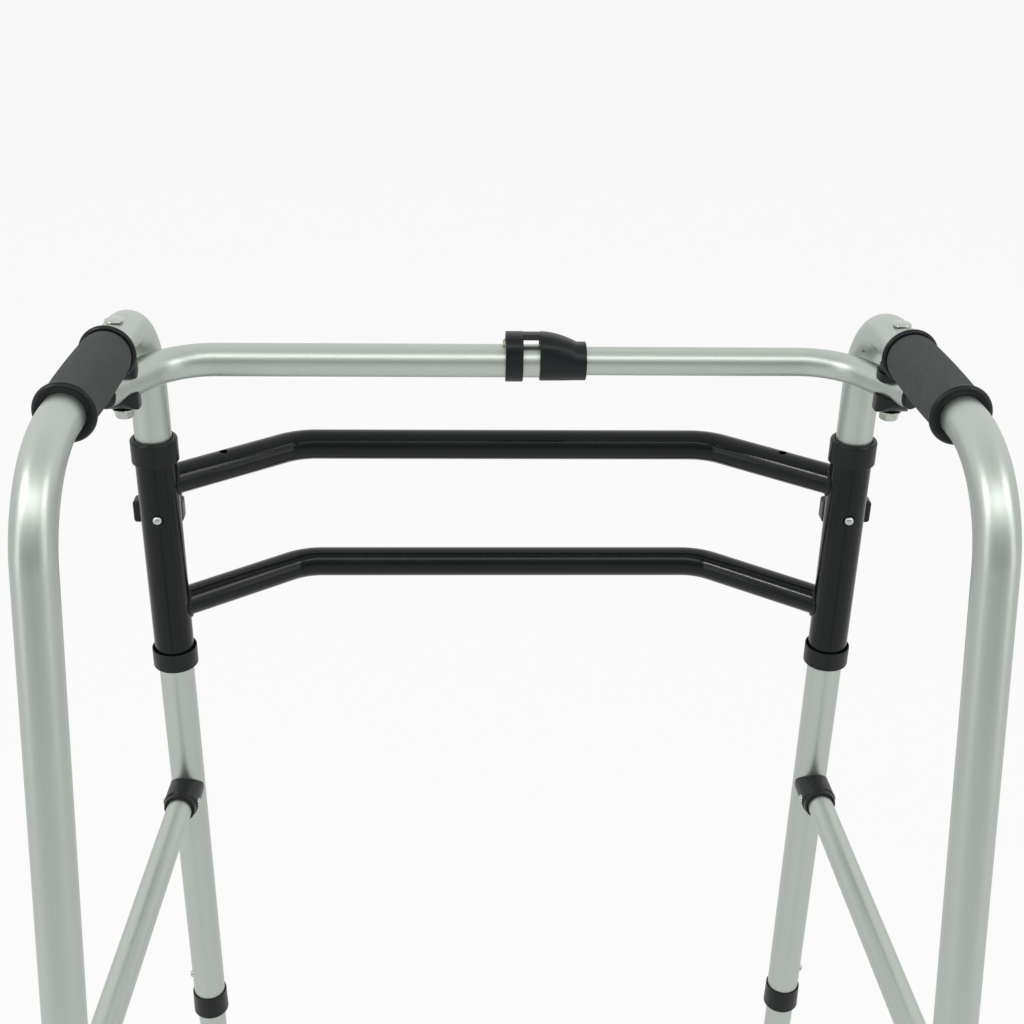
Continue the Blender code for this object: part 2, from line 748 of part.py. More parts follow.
def make_tip(name, end, frame):
    """A flared rubber tip, cut level with the floor."""
    foot = -0.005 if end == "rear" else 0.0
    floor = along_leg(end, TIP_FLOOR)
    top = along_leg(end, TIP_HEIGHT)
    profile = (
        (0.0, floor),
        (TIP_BORE, floor),
        (TIP_BORE, top),
        (TIP_TOP_RADIUS, top),
        (TIP_TOP_RADIUS + 0.0006, 0.022),
        (TIP_RADIUS - 0.0010, 0.010),
        (TIP_RADIUS, 0.008),
        (TIP_RADIUS, foot),
        (0.0, foot),
    )
    tip = turned(name, profile, frame, "dark_rubber", closed=False)
    if end == "rear":
        centre = Vector((frame.translation.x, frame.translation.y, -0.020))
        cut(tip, block(name + "_floor", (0.08, 0.08, 0.040), centre, None))
    return tip


def make_leg(sign, side, end):
    """The bush, leg tube, button and tip of one leg."""
    frame = leg_frame(sign, end)
    stem = side + "_" + end
    bushing = make_bushing(stem + "_leg_bushing", end, frame)
    tube = make_leg_tube(stem + "_leg_tube", end, frame)
    button = make_button(stem + "_height_button", end, frame)
    tip = make_tip(stem + "_rubber_tip", end, frame)
    return bushing, tube, button, tip


# Top bar

def bar_drill(sign, name):
    """A cutter for a pivot bolt's hole through the bar and the saddles."""
    low = side_point(sign, PIVOT_BACK, HANDLE_HEIGHT - 0.060)
    high = side_point(sign, PIVOT_BACK, HANDLE_HEIGHT - 0.008)
    return rod(name, low, high, BOLT_HOLE)


def latch_drill(name):
    """A cutter for the latch pin's hole in the underside of a bar tube."""
    low = (LATCH_PIN_PLACE, BAR_Y, BAR_HEIGHT - 0.020)
    high = (LATCH_PIN_PLACE, BAR_Y, BAR_HEIGHT)
    return rod(name, low, high, LATCH_PIN_HOLE)


def make_bar_tubes():
    """The outer tube on the left, the inner tube on the right and its nylon guide."""
    outer = swept_tube("bar_outer_tube", bar_path(LEFT, BAR_MOUTH), BAR_OUTER_RADIUS,
                       "anodised_aluminium", wall=BAR_OUTER_WALL, sides=BAR_ROUND)
    inner = swept_tube("bar_inner_tube", bar_path(RIGHT, BAR_INNER_END), BAR_INNER_RADIUS,
                       "anodised_aluminium", wall=BAR_INNER_WALL, sides=BAR_ROUND)
    cut(outer, bar_drill(LEFT, "left_bar_hole"), latch_drill("outer_latch_hole"))
    cut(inner, bar_drill(RIGHT, "right_bar_hole"), latch_drill("inner_latch_hole"))
    start, end = GUIDE_SPAN
    guide = rod("bar_guide", (start, BAR_Y, BAR_HEIGHT), (end, BAR_Y, BAR_HEIGHT),
                GUIDE_RADIUS, "white_nylon", sides=ROUND)
    return outer, inner, guide


def make_bar_plug(sign, side, radius, wall):
    """The plug in an end of the bar."""
    frame = frame_at(bar_end(sign), bar_end_direction(sign), (0.0, 0.0, 1.0))
    spigot = radius - wall - 0.0006
    profile = (
        (0.0, 0.0026),
        (radius - 0.0010, 0.0026),
        (radius, 0.0014),
        (radius, GAP),
        (spigot, GAP),
        (spigot, -0.009),
        (0.0, -0.009),
    )
    return turned(side + "_bar_plug", profile, frame, "black_plastic", closed=False)


def rounded_rectangle(length, width, corner):
    """The outline of a rectangle with round corners, about the origin."""
    outline = []
    for quarter, (right, up) in enumerate(((1, 1), (-1, 1), (-1, -1), (1, -1))):
        centre = (right * (length / 2 - corner), up * (width / 2 - corner))
        start = quarter * math.pi / 2
        outline += arc(centre, corner, start, start + math.pi / 2, 3)
    return outline


def make_saddle(sign, name, size, drops, tube_radius):
    """A saddle on the bar at a pivot, hollowed to the bar and drilled for the bolt."""
    top, low = drops
    frame = frame_at(side_point(sign, PIVOT_BACK, HANDLE_HEIGHT), (0.0, 0.0, 1.0),
                     backwards(sign))
    outline = rounded_rectangle(*size, SADDLE_CORNER)
    saddle = plate(name, [outline], -low, -top, frame, "black_plastic")
    bar = swept_tube(name + "_bar", bar_path(sign, sign * 0.10), tube_radius + 0.0004, None,
                     sides=BAR_ROUND)
    cut(saddle, bar, bar_drill(sign, name + "_hole"))
    return saddle


def bolt_profile(end_drop):
    """A domed bolt from the top of the handle down to an end."""
    under = LEG_RADIUS + GAP
    top = under + BOLT_HEAD_HEIGHT
    return (
        (0.0, top),
        (0.0026, top - 0.0002),
        (0.0048, top - 0.0007),
        (BOLT_HEAD, under + 0.0005),
        (BOLT_HEAD, under),
        (BOLT_RADIUS, under),
        (BOLT_RADIUS, -end_drop),
        (0.0, -end_drop),
    )


def make_nut(sign, side):
    """A hexagon flange nut. The right one holds the lower end of its bolt."""
    middle = side_point(sign, PIVOT_BACK, HANDLE_HEIGHT)
    down = Vector((0.0, 0.0, -1.0))
    flange_radius, flange_height = NUT_FLANGE
    hex_radius, hex_height = NUT_HEX
    top = middle + down * NUT_TOP_DROP
    flange_end = top + down * flange_height
    name = side + "_pivot_nut"
    nut = rod(name, top, flange_end, flange_radius, "zinc_steel", sides=ROUND)
    hexagon = rod(name + "_hexagon", top + down * 0.0006, flange_end + down * hex_height,
                  hex_radius, sides=6)
    join(nut, hexagon)
    if sign == LEFT:
        cut(nut, bar_drill(sign, name + "_hole"))
    else:
        shaft = rod(name + "_shaft", middle + down * (RIGHT_SADDLE_TOP_DROP + GAP),
                    middle + down * BOLT_END_DROP, BOLT_RADIUS)
        join(nut, shaft)
    return nut


def make_pivots():
    """The bolts, spacer, saddles and nuts under both handles, by name."""
    pieces = {}
    for sign, side in SIDES:
        frame = Matrix.Translation(side_point(sign, PIVOT_BACK, HANDLE_HEIGHT))
        end_drop = BOLT_END_DROP if sign == LEFT else SPACER_END_DROP
        pieces[side + "_bolt"] = turned(side + "_pivot_bolt", bolt_profile(end_drop), frame,
                                        "zinc_steel", closed=False, steps=SMALL_ROUND)
        top = SADDLE_TOP_DROP if sign == LEFT else RIGHT_SADDLE_TOP_DROP
        radius = BAR_OUTER_RADIUS if sign == LEFT else BAR_INNER_RADIUS
        pieces[side + "_upper"] = make_saddle(sign, side + "_upper_saddle", UPPER_SADDLE,
                                              (top, SADDLE_SKIRT_DROP), radius)
        pieces[side + "_lower"] = make_saddle(sign, side + "_lower_saddle", LOWER_SADDLE,
                                              LOWER_SADDLE_DROPS, radius)
        pieces[side + "_nut"] = make_nut(sign, side)
    frame = Matrix.Translation(side_point(RIGHT, PIVOT_BACK, HANDLE_HEIGHT))
    pieces["right_spacer"] = ring("right_pivot_spacer", BOLT_HOLE, SPACER_RADIUS,
                                  -SPACER_END_DROP, -SADDLE_TOP_DROP, frame, "black_plastic")
    return pieces


# Latch

def roof_section(bottom_radius, roof):
    """A section with a round bottom and a ridged roof, as (across, up) pairs."""
    bottom = arc((0.0, 0.0), bottom_radius, math.pi, math.tau, 8)
    return bottom + list(roof) + [(-across, up) for across, up in reversed(roof)]


def round_section(radius):
    """A round section with its points where a roof section has them."""
    roof = [(radius * math.cos(math.radians(angle)), radius * math.sin(math.radians(angle)))
            for angle in ROOF_ANGLES]
    return roof_section(radius, roof)


def blend(first, second, share):
    """A section part of the way from one to another."""
    return [(a[0] + (b[0] - a[0]) * share, a[1] + (b[1] - a[1]) * share)
            for a, b in zip(first, second)]


def cowl_shell(name, frame):
    """The cowl, lofted from the ridged section by the window to the round end collar."""
    start, collar, end = COWL_SPAN
    stations = [(start + (collar - start) * step / COWL_STATIONS,
                 (step / COWL_STATIONS) ** COWL_FALL) for step in range(COWL_STATIONS + 1)]
    stations.append((end, 1.0))
    walls = ((roof_section(COWL_RADIUS, OUTER_ROOF), round_section(COLLAR_END_RADIUS)),
             (roof_section(LATCH_BORE, INNER_ROOF), round_section(LATCH_COLLAR_BORE)))
    shape = bmesh.new()
    loops = []
    for ridged, plain in walls:
        loops.append([[shape.verts.new((*point, place)) for point in blend(ridged, plain, share)]
                      for place, share in stations])
    outside, inside = loops
    for near, far in zip(outside, outside[1:]):
        loft(shape, near, far)
    for near, far in zip(inside, inside[1:]):
        loft(shape, far, near)
    loft(shape, outside[-1], inside[-1])
    loft(shape, inside[0], outside[0])
    thing = add_object(name, mesh_from_bmesh(name, shape), None)
    thing.matrix_world = frame
    return thing


def loft(shape, near, far):
    """Quads between two loops of corners."""
    count = len(near)
    for index in range(count):
        after = (index + 1) % count
        shape.faces.new((near[index], near[after], far[after], far[index]))


def make_latch():
    """The latch lever, its pin and the bush that it turns on."""
    centre = Vector((0.0, BAR_Y, BAR_HEIGHT))
    frame = Matrix.Translation(centre) @ Matrix(((0, 0, 1, 0), (1, 0, 0, 0), (0, 1, 0, 0),
                                                 (0, 0, 0, 1)))
    strap = [roof_section(STRAP_RADIUS, OUTER_ROOF), roof_section(LATCH_BORE, INNER_ROOF)]
    lever = plate("latch_lever", strap, *STRAP_SPAN, frame, "black_plastic")
    width, low, high = RIB
    rib_start, rib_end = STRAP_SPAN[1] - 0.0006, COWL_SPAN[0] + 0.0006
    rib_centre = centre + Vector(((rib_start + rib_end) / 2, 0.0, (low + high) / 2))
    rib = block("latch_rib", (rib_end - rib_start, width, high - low), rib_centre, None)
    join(lever, cowl_shell("latch_cowl", frame), rib)

    pivot = centre + Vector((LATCH_PIVOT, 0.0, 0.0))
    aside = Vector((0.0, 0.020, 0.0))
    pin_place = centre + Vector((LATCH_PIN_PLACE, 0.0, 0.0))
    up = Vector((0.0, 0.0, 1.0))
    pin_hole = rod("lever_pin_hole", pin_place - up * 0.018, pin_place - up * 0.008,
                   LATCH_PIN_HOLE)
    cut(lever, rod("trunnion_hole", pivot - aside, pivot + aside, TRUNNION_HOLE), pin_hole)

    low, high = LATCH_PIN_HEIGHTS
    pin = rod("latch_pin", pin_place + up * low, pin_place + up * high, LATCH_PIN_RADIUS,
              "zinc_steel")
    bore, radius, start, end = MOUTH_BUSH
    bush = ring("bar_mouth_bush", bore, radius, start, end, frame, "black_plastic")
    for direction, name in ((-1.0, "back"), (1.0, "front")):
        near = pivot + Vector((0.0, direction * (radius - 0.0007), 0.0))
        far = pivot + Vector((0.0, direction * TRUNNION_REACH, 0.0))
        join(bush, rod(name + "_trunnion", near, far, TRUNNION_RADIUS))
    return lever, pin, bush


def spring_points():
    """The centreline of the latch spring, from the bar's crest up to the strap."""
    low, high = SPRING_HEIGHTS
    count = SPRING_TURNS * SPRING_POINTS_A_TURN
    points = []
    for step in range(count + 1):
        angle = math.tau * step / SPRING_POINTS_A_TURN
        points.append(Vector((SPRING_PLACE + SPRING_RADIUS * math.cos(angle),
                              BAR_Y + SPRING_RADIUS * math.sin(angle),
                              BAR_HEIGHT + low + (high - low) * step / count)))
    return points


def least_spring_gap(points):
    """The least clear gap between the spring's turns, on its points."""
    apart = SPRING_POINTS_A_TURN // 2
    least = min((points[second] - points[first]).length
                for first in range(len(points))
                for second in range(first + apart, len(points)))
    return least - 2 * SPRING_WIRE


def make_spring():
    """The sprung wire under the latch's strap."""
    points = spring_points()
    print("latch spring, least gap to itself: %.2f mm" % (least_spring_gap(points) * 1000))
    return swept_tube("latch_spring", points, SPRING_WIRE, "spring_brass", sides=6)


# Assembly

def carry(name, place, parent, pieces):
    """An empty on a body's joint that carries its pieces, which stay where they are."""
    holder = bpy.data.objects.new(name, None)
    PARTS.objects.link(holder)
    holder.empty_display_size = 0.02
    holder.matrix_world = Matrix.Translation(place)
    bpy.context.view_layer.update()
    if parent is not None:
        holder.parent = parent
        holder.matrix_parent_inverse = parent.matrix_world.inverted()
    for piece in pieces:
        piece.parent = holder
        piece.matrix_parent_inverse = holder.matrix_world.inverted()
    return holder


def build_walker():
    """Make every piece and hang it on its body."""
    frame_pieces = []
    for name, drop in CROSSBAR_DROPS:
        frame_pieces.append(make_crossbar(name, drop))
    drill_upper_crossbar(frame_pieces[0])
    for sign, side in SIDES:
        frame_pieces += [make_sleeve(sign, side), make_bottom_collar(sign, side)]
    root = carry("frame", Vector((0.0, AXIS_FORWARD, HANDLE_HEIGHT)), None, frame_pieces)

    pivots = make_pivots()
    side_frames = {}
    for sign, side in SIDES:
        turn = carry(side + "_turn", axis_point(sign), root, [make_top_collar(sign, side)])
        carry(side + "_stop", axis_point(sign, STOP_DROP), root, make_stop(sign, side))
        pieces = [make_side_tube(sign, side), *make_grip(sign, side), *make_brace(sign, side)]
        if sign == RIGHT:
            pieces += [pivots["right_bolt"], pivots["right_spacer"]]
        side_frame = carry(side + "_side", axis_point(sign), turn, pieces)
        side_frames[side] = side_frame
        for end in ("front", "rear"):
            bushing, tube, button, tip = make_leg(sign, side, end)
            bushing.parent = side_frame
            bushing.matrix_parent_inverse = side_frame.matrix_world.inverted()
            place = leg_frame(sign, end).translation
            leg = carry("_".join((side, end, "leg")), place, side_frame, [tube, tip])
            height = along_leg(end, BUTTON_HEIGHT)
            button_place = leg_frame(sign, end) @ Vector((0.0, 0.0, height))
            carry("_".join((side, end, "button")), button_place, leg, [button])

    outer, inner, guide = make_bar_tubes()
    left_plug = make_bar_plug(LEFT, "left", BAR_OUTER_RADIUS, BAR_OUTER_WALL)
    right_plug = make_bar_plug(RIGHT, "right", BAR_INNER_RADIUS, BAR_INNER_WALL)
    lever, latch_pin, bush = make_latch()
    pivot = side_point(LEFT, PIVOT_BACK, HANDLE_HEIGHT)
    bolt = carry("bar_bolt", pivot, side_frames["left"], [pivots["left_bolt"]])
    nut = carry("bar_nut", pivot, bolt, [pivots["left_nut"]])
    bar = carry("bar_outer", pivot, nut, [outer, left_plug, bush, pivots["left_upper"],
                                          pivots["left_lower"], make_spring()])
    slug = carry("bar_guide_slide", Vector((BAR_INNER_END, BAR_Y, BAR_HEIGHT)), bar, [guide])
    carry("bar_inner", Vector((BAR_MOUTH, BAR_Y, BAR_HEIGHT)), slug,
          [inner, right_plug, pivots["right_upper"], pivots["right_lower"], pivots["right_nut"]])
    carry("latch", Vector((LATCH_PIVOT, BAR_Y, BAR_HEIGHT)), bar, [lever, latch_pin])


build_walker()
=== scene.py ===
"""The looks of a reciprocal walker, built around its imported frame.

It is laid out as an add-on and run as a script. Metres, +Z up, the user standing at -Y and
facing +Y. Each operator makes one group of pieces in the places that the frame gives.
"""

import json
import math

import bmesh
import bpy
import numpy as np
from bpy.props import FloatProperty, FloatVectorProperty, PointerProperty
from bpy.types import Operator, Panel, PropertyGroup
from mathutils import Matrix, Vector


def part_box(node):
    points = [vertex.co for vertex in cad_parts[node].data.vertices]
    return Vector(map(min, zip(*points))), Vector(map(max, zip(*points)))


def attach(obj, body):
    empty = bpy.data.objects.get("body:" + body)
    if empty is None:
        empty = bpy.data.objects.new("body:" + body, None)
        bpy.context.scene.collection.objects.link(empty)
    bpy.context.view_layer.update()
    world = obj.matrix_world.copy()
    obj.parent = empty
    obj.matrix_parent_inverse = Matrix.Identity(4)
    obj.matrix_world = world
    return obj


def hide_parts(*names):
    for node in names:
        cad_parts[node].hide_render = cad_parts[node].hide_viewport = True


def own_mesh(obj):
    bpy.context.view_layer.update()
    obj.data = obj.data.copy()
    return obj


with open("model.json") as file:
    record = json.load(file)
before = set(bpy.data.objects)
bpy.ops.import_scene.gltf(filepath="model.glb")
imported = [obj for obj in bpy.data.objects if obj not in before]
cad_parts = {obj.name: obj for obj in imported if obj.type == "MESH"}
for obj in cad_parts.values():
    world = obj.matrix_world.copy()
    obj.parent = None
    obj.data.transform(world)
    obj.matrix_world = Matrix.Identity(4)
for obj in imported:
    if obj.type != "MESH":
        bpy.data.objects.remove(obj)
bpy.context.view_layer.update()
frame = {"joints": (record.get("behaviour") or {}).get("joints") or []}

bl_info = {
    "name": "Reciprocal walker",
    "version": (1, 0, 0),
    "blender": (4, 5, 0),
    "location": "View3D > Sidebar > Walker",
    "description": "Models and finishes a reciprocal walker around its packed frame",
    "category": "Add Mesh",
}

JOINTS = {joint["name"]: joint for joint in frame["joints"]}
LEFT = -1
RIGHT = 1
SIDES = ((LEFT, "left"), (RIGHT, "right"))
ENDS = ("front", "rear")

# Places that the frame gives: the right front-leg axis, the left bar pivot, the latch pivot.
AXIS = Vector(JOINTS["step_right"]["pos_m"])
BAR_PIVOT = Vector(JOINTS["bar_bolt_turn"]["pos_m"])
LATCH_PIVOT = Vector(JOINTS["latch_press"]["pos_m"])
PIVOT_BACK = math.hypot(-BAR_PIVOT.x - AXIS.x, AXIS.y - BAR_PIVOT.y)
SPLAY = math.atan2(-BAR_PIVOT.x - AXIS.x, AXIS.y - BAR_PIVOT.y)
BAR_Y = LATCH_PIVOT.y
BAR_HEIGHT = LATCH_PIVOT.z

# How finely round things are divided.
TUBE_SIDES = 72
TURN_STEPS = 64
HOLE_SIDES = 32
BEND_STEP = math.radians(3.5)
FINE_BEND_STEP = math.radians(1.2)
STRAIGHT_STEP = 0.02
CORNER_STEPS = 4
OUTLINE_STEPS = 8
SECTION_STEPS = 5
WELD_STEPS = 96

# How many corners of a mesh are compared with a path at a time.
CORNERS_AT_ONCE = 3000

# The gap between pieces that touch.
GAP = 0.0003

# Where a drill for a tube's wall starts and ends, out from the tube's axis, and how far a
# cutter in the shape of a leg or a sleeve reaches up and down.
DRILL_SPAN = (0.008, 0.018)
COPE_REACH = 0.03

# Leg buttons and their holes. The foot is its radius, its lower face and its upper face.
BUTTON_HEIGHT = 0.300
HOLE_PITCH = 0.0254
HOLE_COUNT = 7
BUTTON_RADIUS = 0.0031
BUTTON_HOLE = 0.0035
BUTTON_REACH = 0.0150
BUTTON_DOME = 0.0018
BUTTON_FOOT = (0.0044, 0.0072, 0.0084)
LEAF_SIZE = (0.026, 0.0066, 0.0009)
LEAF_PLACE = (0.008, 0.0, 0.0071)

# Leg mouth bush and rubber tip. A rear tip is cut flat on the floor, so it starts lower.
BUSH_RADIUS = 0.0143
BUSH_LIP = 0.0030
BUSH_LENGTH = 0.0215
TIP_FLOOR = 0.007
TIP_TOP_RADIUS = 0.0145
TIP_BORE = 0.0114
TIP_TRIM = 0.005
TIP_RINGS = 3
TIP_RING_PITCH = 0.0050
TIP_RING_DEPTH = 0.0006
TREAD_PITCH = 0.0045
TREAD_DEPTH = 0.0010

# Side brace ends.
BRACE_INSET = 0.006
BRACE_SADDLE_GAP = 0.00035
BRACE_SADDLE_RADIUS = 0.0130
BRACE_SADDLE_SPAN = (0.004, 0.034)
LEG_COPE = 0.0132
RIVET_PLACE = 0.0245

# Front frame, as drops below the handle's centre.
SLEEVE_DROPS = (0.097, 0.275)
SLEEVE_COPE = 0.0148
TOP_COLLAR_DROPS = (0.094, 0.1115)
BOTTOM_COLLAR_DROPS = (0.2635, 0.2785)
CUP_GROOVE = 0.0154
CROSSBARS = (("upper", 0.130), ("lower", 0.230))
DRAIN_OFFSET = 0.203
DRAIN_RADIUS = 0.0030

# Stop clips and pins.
STOP_DROP = 0.152
STOP_RADIUS = 0.0033
STOP_HOLE = 0.0037
STOP_TIP_HOLE = 0.0041
STOP_TIP = -0.0168
STOP_DOME = 0.0024
STOP_HEAD = 0.0243
STOP_HEAD_RADIUS = 0.0055
CLIP_SIZE = (0.0355, 0.013, 0.017)
CLIP_OUT = 0.0042
CLIP_BACK = 0.008
CLIP_DROP = 0.157
SLOT_RADII = (0.009, 0.0145)
SLOT_HALF_ANGLE = 19.0
SLOT_HALF_HEIGHT = 0.0038
TURNS_OUT = 6.5
TURNS_IN = {LEFT: 92.5, RIGHT: 80.5}

# The small hole on the inner side of each front bend: degrees along the bend and round the tube.
VENT_PLACES = {LEFT: (37.0, 230.0), RIGHT: (48.0, 226.0)}
VENT_RADIUS = 0.0009

# Grip ends: outer radius and width of each flange.
FRONT_FLANGE = (0.0179, 0.0042)
REAR_FLANGE = (0.0185, 0.0055)
GRIP_BORE = 0.01305
GRIP_SLEEVE_RADIUS = 0.0142
FOAM_END_RADIUS = 0.0153

# Pivots under the handles. The nut's flange and hexagon are a radius and a depth below its top.
BOLT_RADIUS = 0.0030
BOLT_HOLE = 0.0033
BOLT_HEAD = 0.0062
BOLT_HEAD_HEIGHT = 0.0018
BOLT_END_DROP = 0.0524
THREAD_DROP = 0.0440
THREAD_PITCH = 0.0008
THREAD_DEPTH = 0.00035
SADDLE_PLAN = (0.0245, 0.022)
SADDLE_CORNER = 0.0107
SADDLE_ROUND = 0.0103
SADDLE_EDGE = 0.0008
SADDLE_CLEAR = 0.0002
SIDE_VIEW_REACH = 0.02
SADDLE_BAR_GAP = 0.0004
BAR_CUTTER_END = 0.10
BAR_CUTTER_EXTRA = 0.02
SADDLE_TOP_DROPS = {LEFT: 0.0135, RIGHT: 0.0183}
SADDLE_SKIRT_DROP = 0.0240
LOWER_SADDLE_DROPS = (0.0343, 0.0450)
SPACER_RADIUS = 0.0100
SPACER_DROPS = (0.0135, 0.0180)
NUT_TOP_DROP = 0.0453
NUT_FLANGE = (0.0075, 0.0012)
NUT_HEX = (0.0064, 0.0064)
NUT_TEETH = 24
NUT_TOOTH = (0.0022, 0.00055, 0.0006)

# Plugs in the top bar's ends.
PLUG_CLEARANCE = 0.0006
PLUG_DEPTH = 0.009

# Latch, along the bar from the middle and above the bar's axis.
STRAP_SPAN = (-0.0023, 0.0094)
COWL_SPAN = (0.0205, 0.0453, 0.0515)
STRAP_RADIUS = 0.0139
COWL_RADIUS = 0.0132
COLLAR_END_RADIUS = 0.0129
LATCH_BORE = 0.0117
LATCH_COLLAR_BORE = 0.0114
OUTER_ROOF = ((0.0135, 0.0050), (0.0129, 0.0100), (0.0106, 0.0151), (0.0050, 0.0192))
INNER_ROOF = ((0.0117, 0.0050), (0.0112, 0.0095), (0.0094, 0.0138), (0.0030, 0.0162))
ROOF_ANGLES = (20.0, 40.0, 58.0, 76.0)
COWL_FALL = 1.9
RIB = (0.0050, 0.0162)
TRUNNION_RADIUS = 0.0018
TRUNNION_HOLE = 0.0021
TRUNNION_REACH = 0.0120
MOUTH_BUSH = (0.00985, 0.0109, 0.0423, 0.0500)
LATCH_PIN_PLACE = 0.0035
LATCH_PIN_RADIUS = 0.0020
LATCH_PIN_HOLE = 0.0023
LATCH_PIN_HEIGHTS = (-0.0138, -0.0099)
SPRING_PLACE = 0.0012
SPRING_RADIUS = 0.0050
SPRING_WIRE = 0.0004
SPRING_HEIGHTS = (0.0118, 0.0146)
SPRING_TURNS = 2
SPRING_STEPS = 64

# How bright the studio looks to glossy surfaces: in front, and what is added behind and above.
MIRROR_FRONT = 0.34
MIRROR_BEHIND = 0.66
MIRROR_ABOVE = 0.30

# Where the studio turns from front to behind and from level to above, as parts of a direction.
BEHIND_RANGE = (-0.35, 0.45)
ABOVE_RANGE = (0.15, 0.60)

# The floor: half its width, how much of its look is glow, and how much less glossy surfaces see.
FLOOR_HALF = 15.0
FLOOR_GLOW = 0.88
FLOOR_GLOW_LOSS = 0.40

# The studio's lights: place, width and height, and how much of which power of the stage.
LIGHTS = (
    ("overhead_softbox", (0.0, -1.15, 2.30), (2.2, 0.5), "key", 1.0),
    ("left_lamp", (-1.18, -0.50, 1.85), (0.36, 0.08), "glint", 1.0),
    ("right_lamp", (1.18, -0.50, 1.85), (0.50, 0.40), "glint", 0.6),
    ("left_softbox", (-1.9, -0.9, 1.3), (0.7, 1.8), "fill", 1.0),
    ("right_softbox", (1.9, -0.9, 1.3), (0.7, 1.8), "fill", 1.0),
)
LIGHT_TARGET = (0.0, 0.10, 0.70)


# Sizes and colours that a user would change

def length(name, default, description):
    """A length property."""
    return FloatProperty(name=name, description=description, default=default, unit="LENGTH",
                         precision=5)


def colour(name, default, description):
    """A colour property."""
    return FloatVectorProperty(name=name, description=description, default=default, size=3,
                               subtype="COLOR", min=0.0, max=1.0)


class WalkerSizes(PropertyGroup):
    """Driving sizes of the walker's visible pieces."""
    leg_radius: length("Leg radius", 0.0127, "Outer radius of the side frames' tube")
    leg_wall: length("Leg wall", 0.00125, "Wall of the side frames' tube")
    leg_end: length("Leg end", 0.265, "Height of the side frames' lower mouths")
    front_bend: length("Front bend", 0.0515, "Centreline radius of a side frame's front bend")
    rear_bend: length("Rear bend", 0.071, "Centreline radius of a side frame's rear bend")
    handle_run: length("Handle run", 0.137, "Straight length of a handle")
    rear_slant: FloatProperty(name="Rear slant", description="Slant of the rear legs",
                              default=math.radians(12.0), subtype="ANGLE")
    slide_radius: length("Slide radius", 0.0111, "Outer radius of the telescopic leg tubes")
    slide_wall: length("Slide wall", 0.0012, "Wall of the telescopic leg tubes")
    slide_top: length("Slide top", 0.325, "Height of the telescopic leg tubes' upper ends")
    tip_height: length("Tip height", 0.044, "Height of the rubber tips")
    tip_radius: length("Tip radius", 0.0195, "Radius of the rubber tips at the floor")
    brace_height: length("Brace height", 0.500, "Height of the side braces")
    brace_radius: length("Brace radius", 0.0095, "Outer radius of the side braces")
    brace_wall: length("Brace wall", 0.0012, "Wall of the side braces")
    rivet_radius: length("Rivet radius", 0.0031, "Radius of the rivet heads on the braces")
    sleeve_radius: length("Sleeve radius", 0.0143, "Outer radius of the sleeves")
    sleeve_bore: length("Sleeve bore", 0.0132, "Inner radius of the sleeves")
    collar_radius: length("Collar radius", 0.0164, "Outer radius of the sleeves' collars")
    crossbar_radius: length("Crossbar radius", 0.0110, "Outer radius of the crossbars")
    crossbar_wall: length("Crossbar wall", 0.0015, "Wall of the crossbars")
    crossbar_corner: length("Crossbar corner", 0.153, "How far out a crossbar's bend lies")
    crossbar_forward: length("Crossbar forward", 0.068, "How far forward the crossbars run")
    crossbar_bend: length("Crossbar bend", 0.040, "Centreline radius of a crossbar's bends")
    weld_radius: length("Weld radius", 0.0015, "Radius of the weld beads")
    weld_pitch: length("Weld pitch", 0.0024, "Distance between ripples of the weld beads")
    grip_start: length("Grip start", 0.0825, "Front end of a grip, behind the leg axis")
    grip_end: length("Grip end", 0.180, "Rear end of a grip, behind the leg axis")
    foam_radius: length("Foam radius", 0.0168, "Greatest radius of the foam grips")
    bar_outer_radius: length("Outer bar radius", 0.0111, "Radius of the bar's outer tube")
    bar_outer_wall: length("Outer bar wall", 0.0010, "Wall of the bar's outer tube")
    bar_inner_radius: length("Inner bar radius", 0.009525, "Radius of the bar's inner tube")
    bar_inner_wall: length("Inner bar wall", 0.0012, "Wall of the bar's inner tube")
    bar_bend: length("Bar bend", 0.050, "Centreline radius of the bar's bends")
    bar_turn: FloatProperty(name="Bar turn", description="How far the bar's ends turn back",
                            default=math.radians(58.0), subtype="ANGLE")
    bar_overhang: length("Bar overhang", 0.0165, "How far the bar reaches past its bolts")
    bar_mouth: length("Bar mouth", 0.042, "Where the outer tube ends, right of the middle")
    bar_inner_end: length("Inner tube end", -0.060, "Where the inner tube starts")


class WalkerFinishes(PropertyGroup):
    """Colours of the walker's finishes."""
    anodised_tube: colour("Anodised tube", (0.50, 0.545, 0.50), "Satin anodised aluminium")
    black_paint: colour("Black paint", (0.0040, 0.0058, 0.0052), "Glossy powder coat")
    black_plastic: colour("Black plastic", (0.0050, 0.0062, 0.0072), "Satin moulded plastic")
    grip_foam: colour("Grip foam", (0.072, 0.080, 0.076), "Closed-cell foam")
    zinc_steel: colour("Zinc steel", (0.52, 0.55, 0.50), "Zinc plated steel")
    spring_wire: colour("Spring wire", (0.60, 0.45, 0.22), "Bright yellow wire")
    nylon: colour("Nylon", (0.75, 0.75, 0.72), "Natural nylon")
    foot_rubber: colour("Foot rubber", (0.026, 0.026, 0.028), "Moulded rubber")


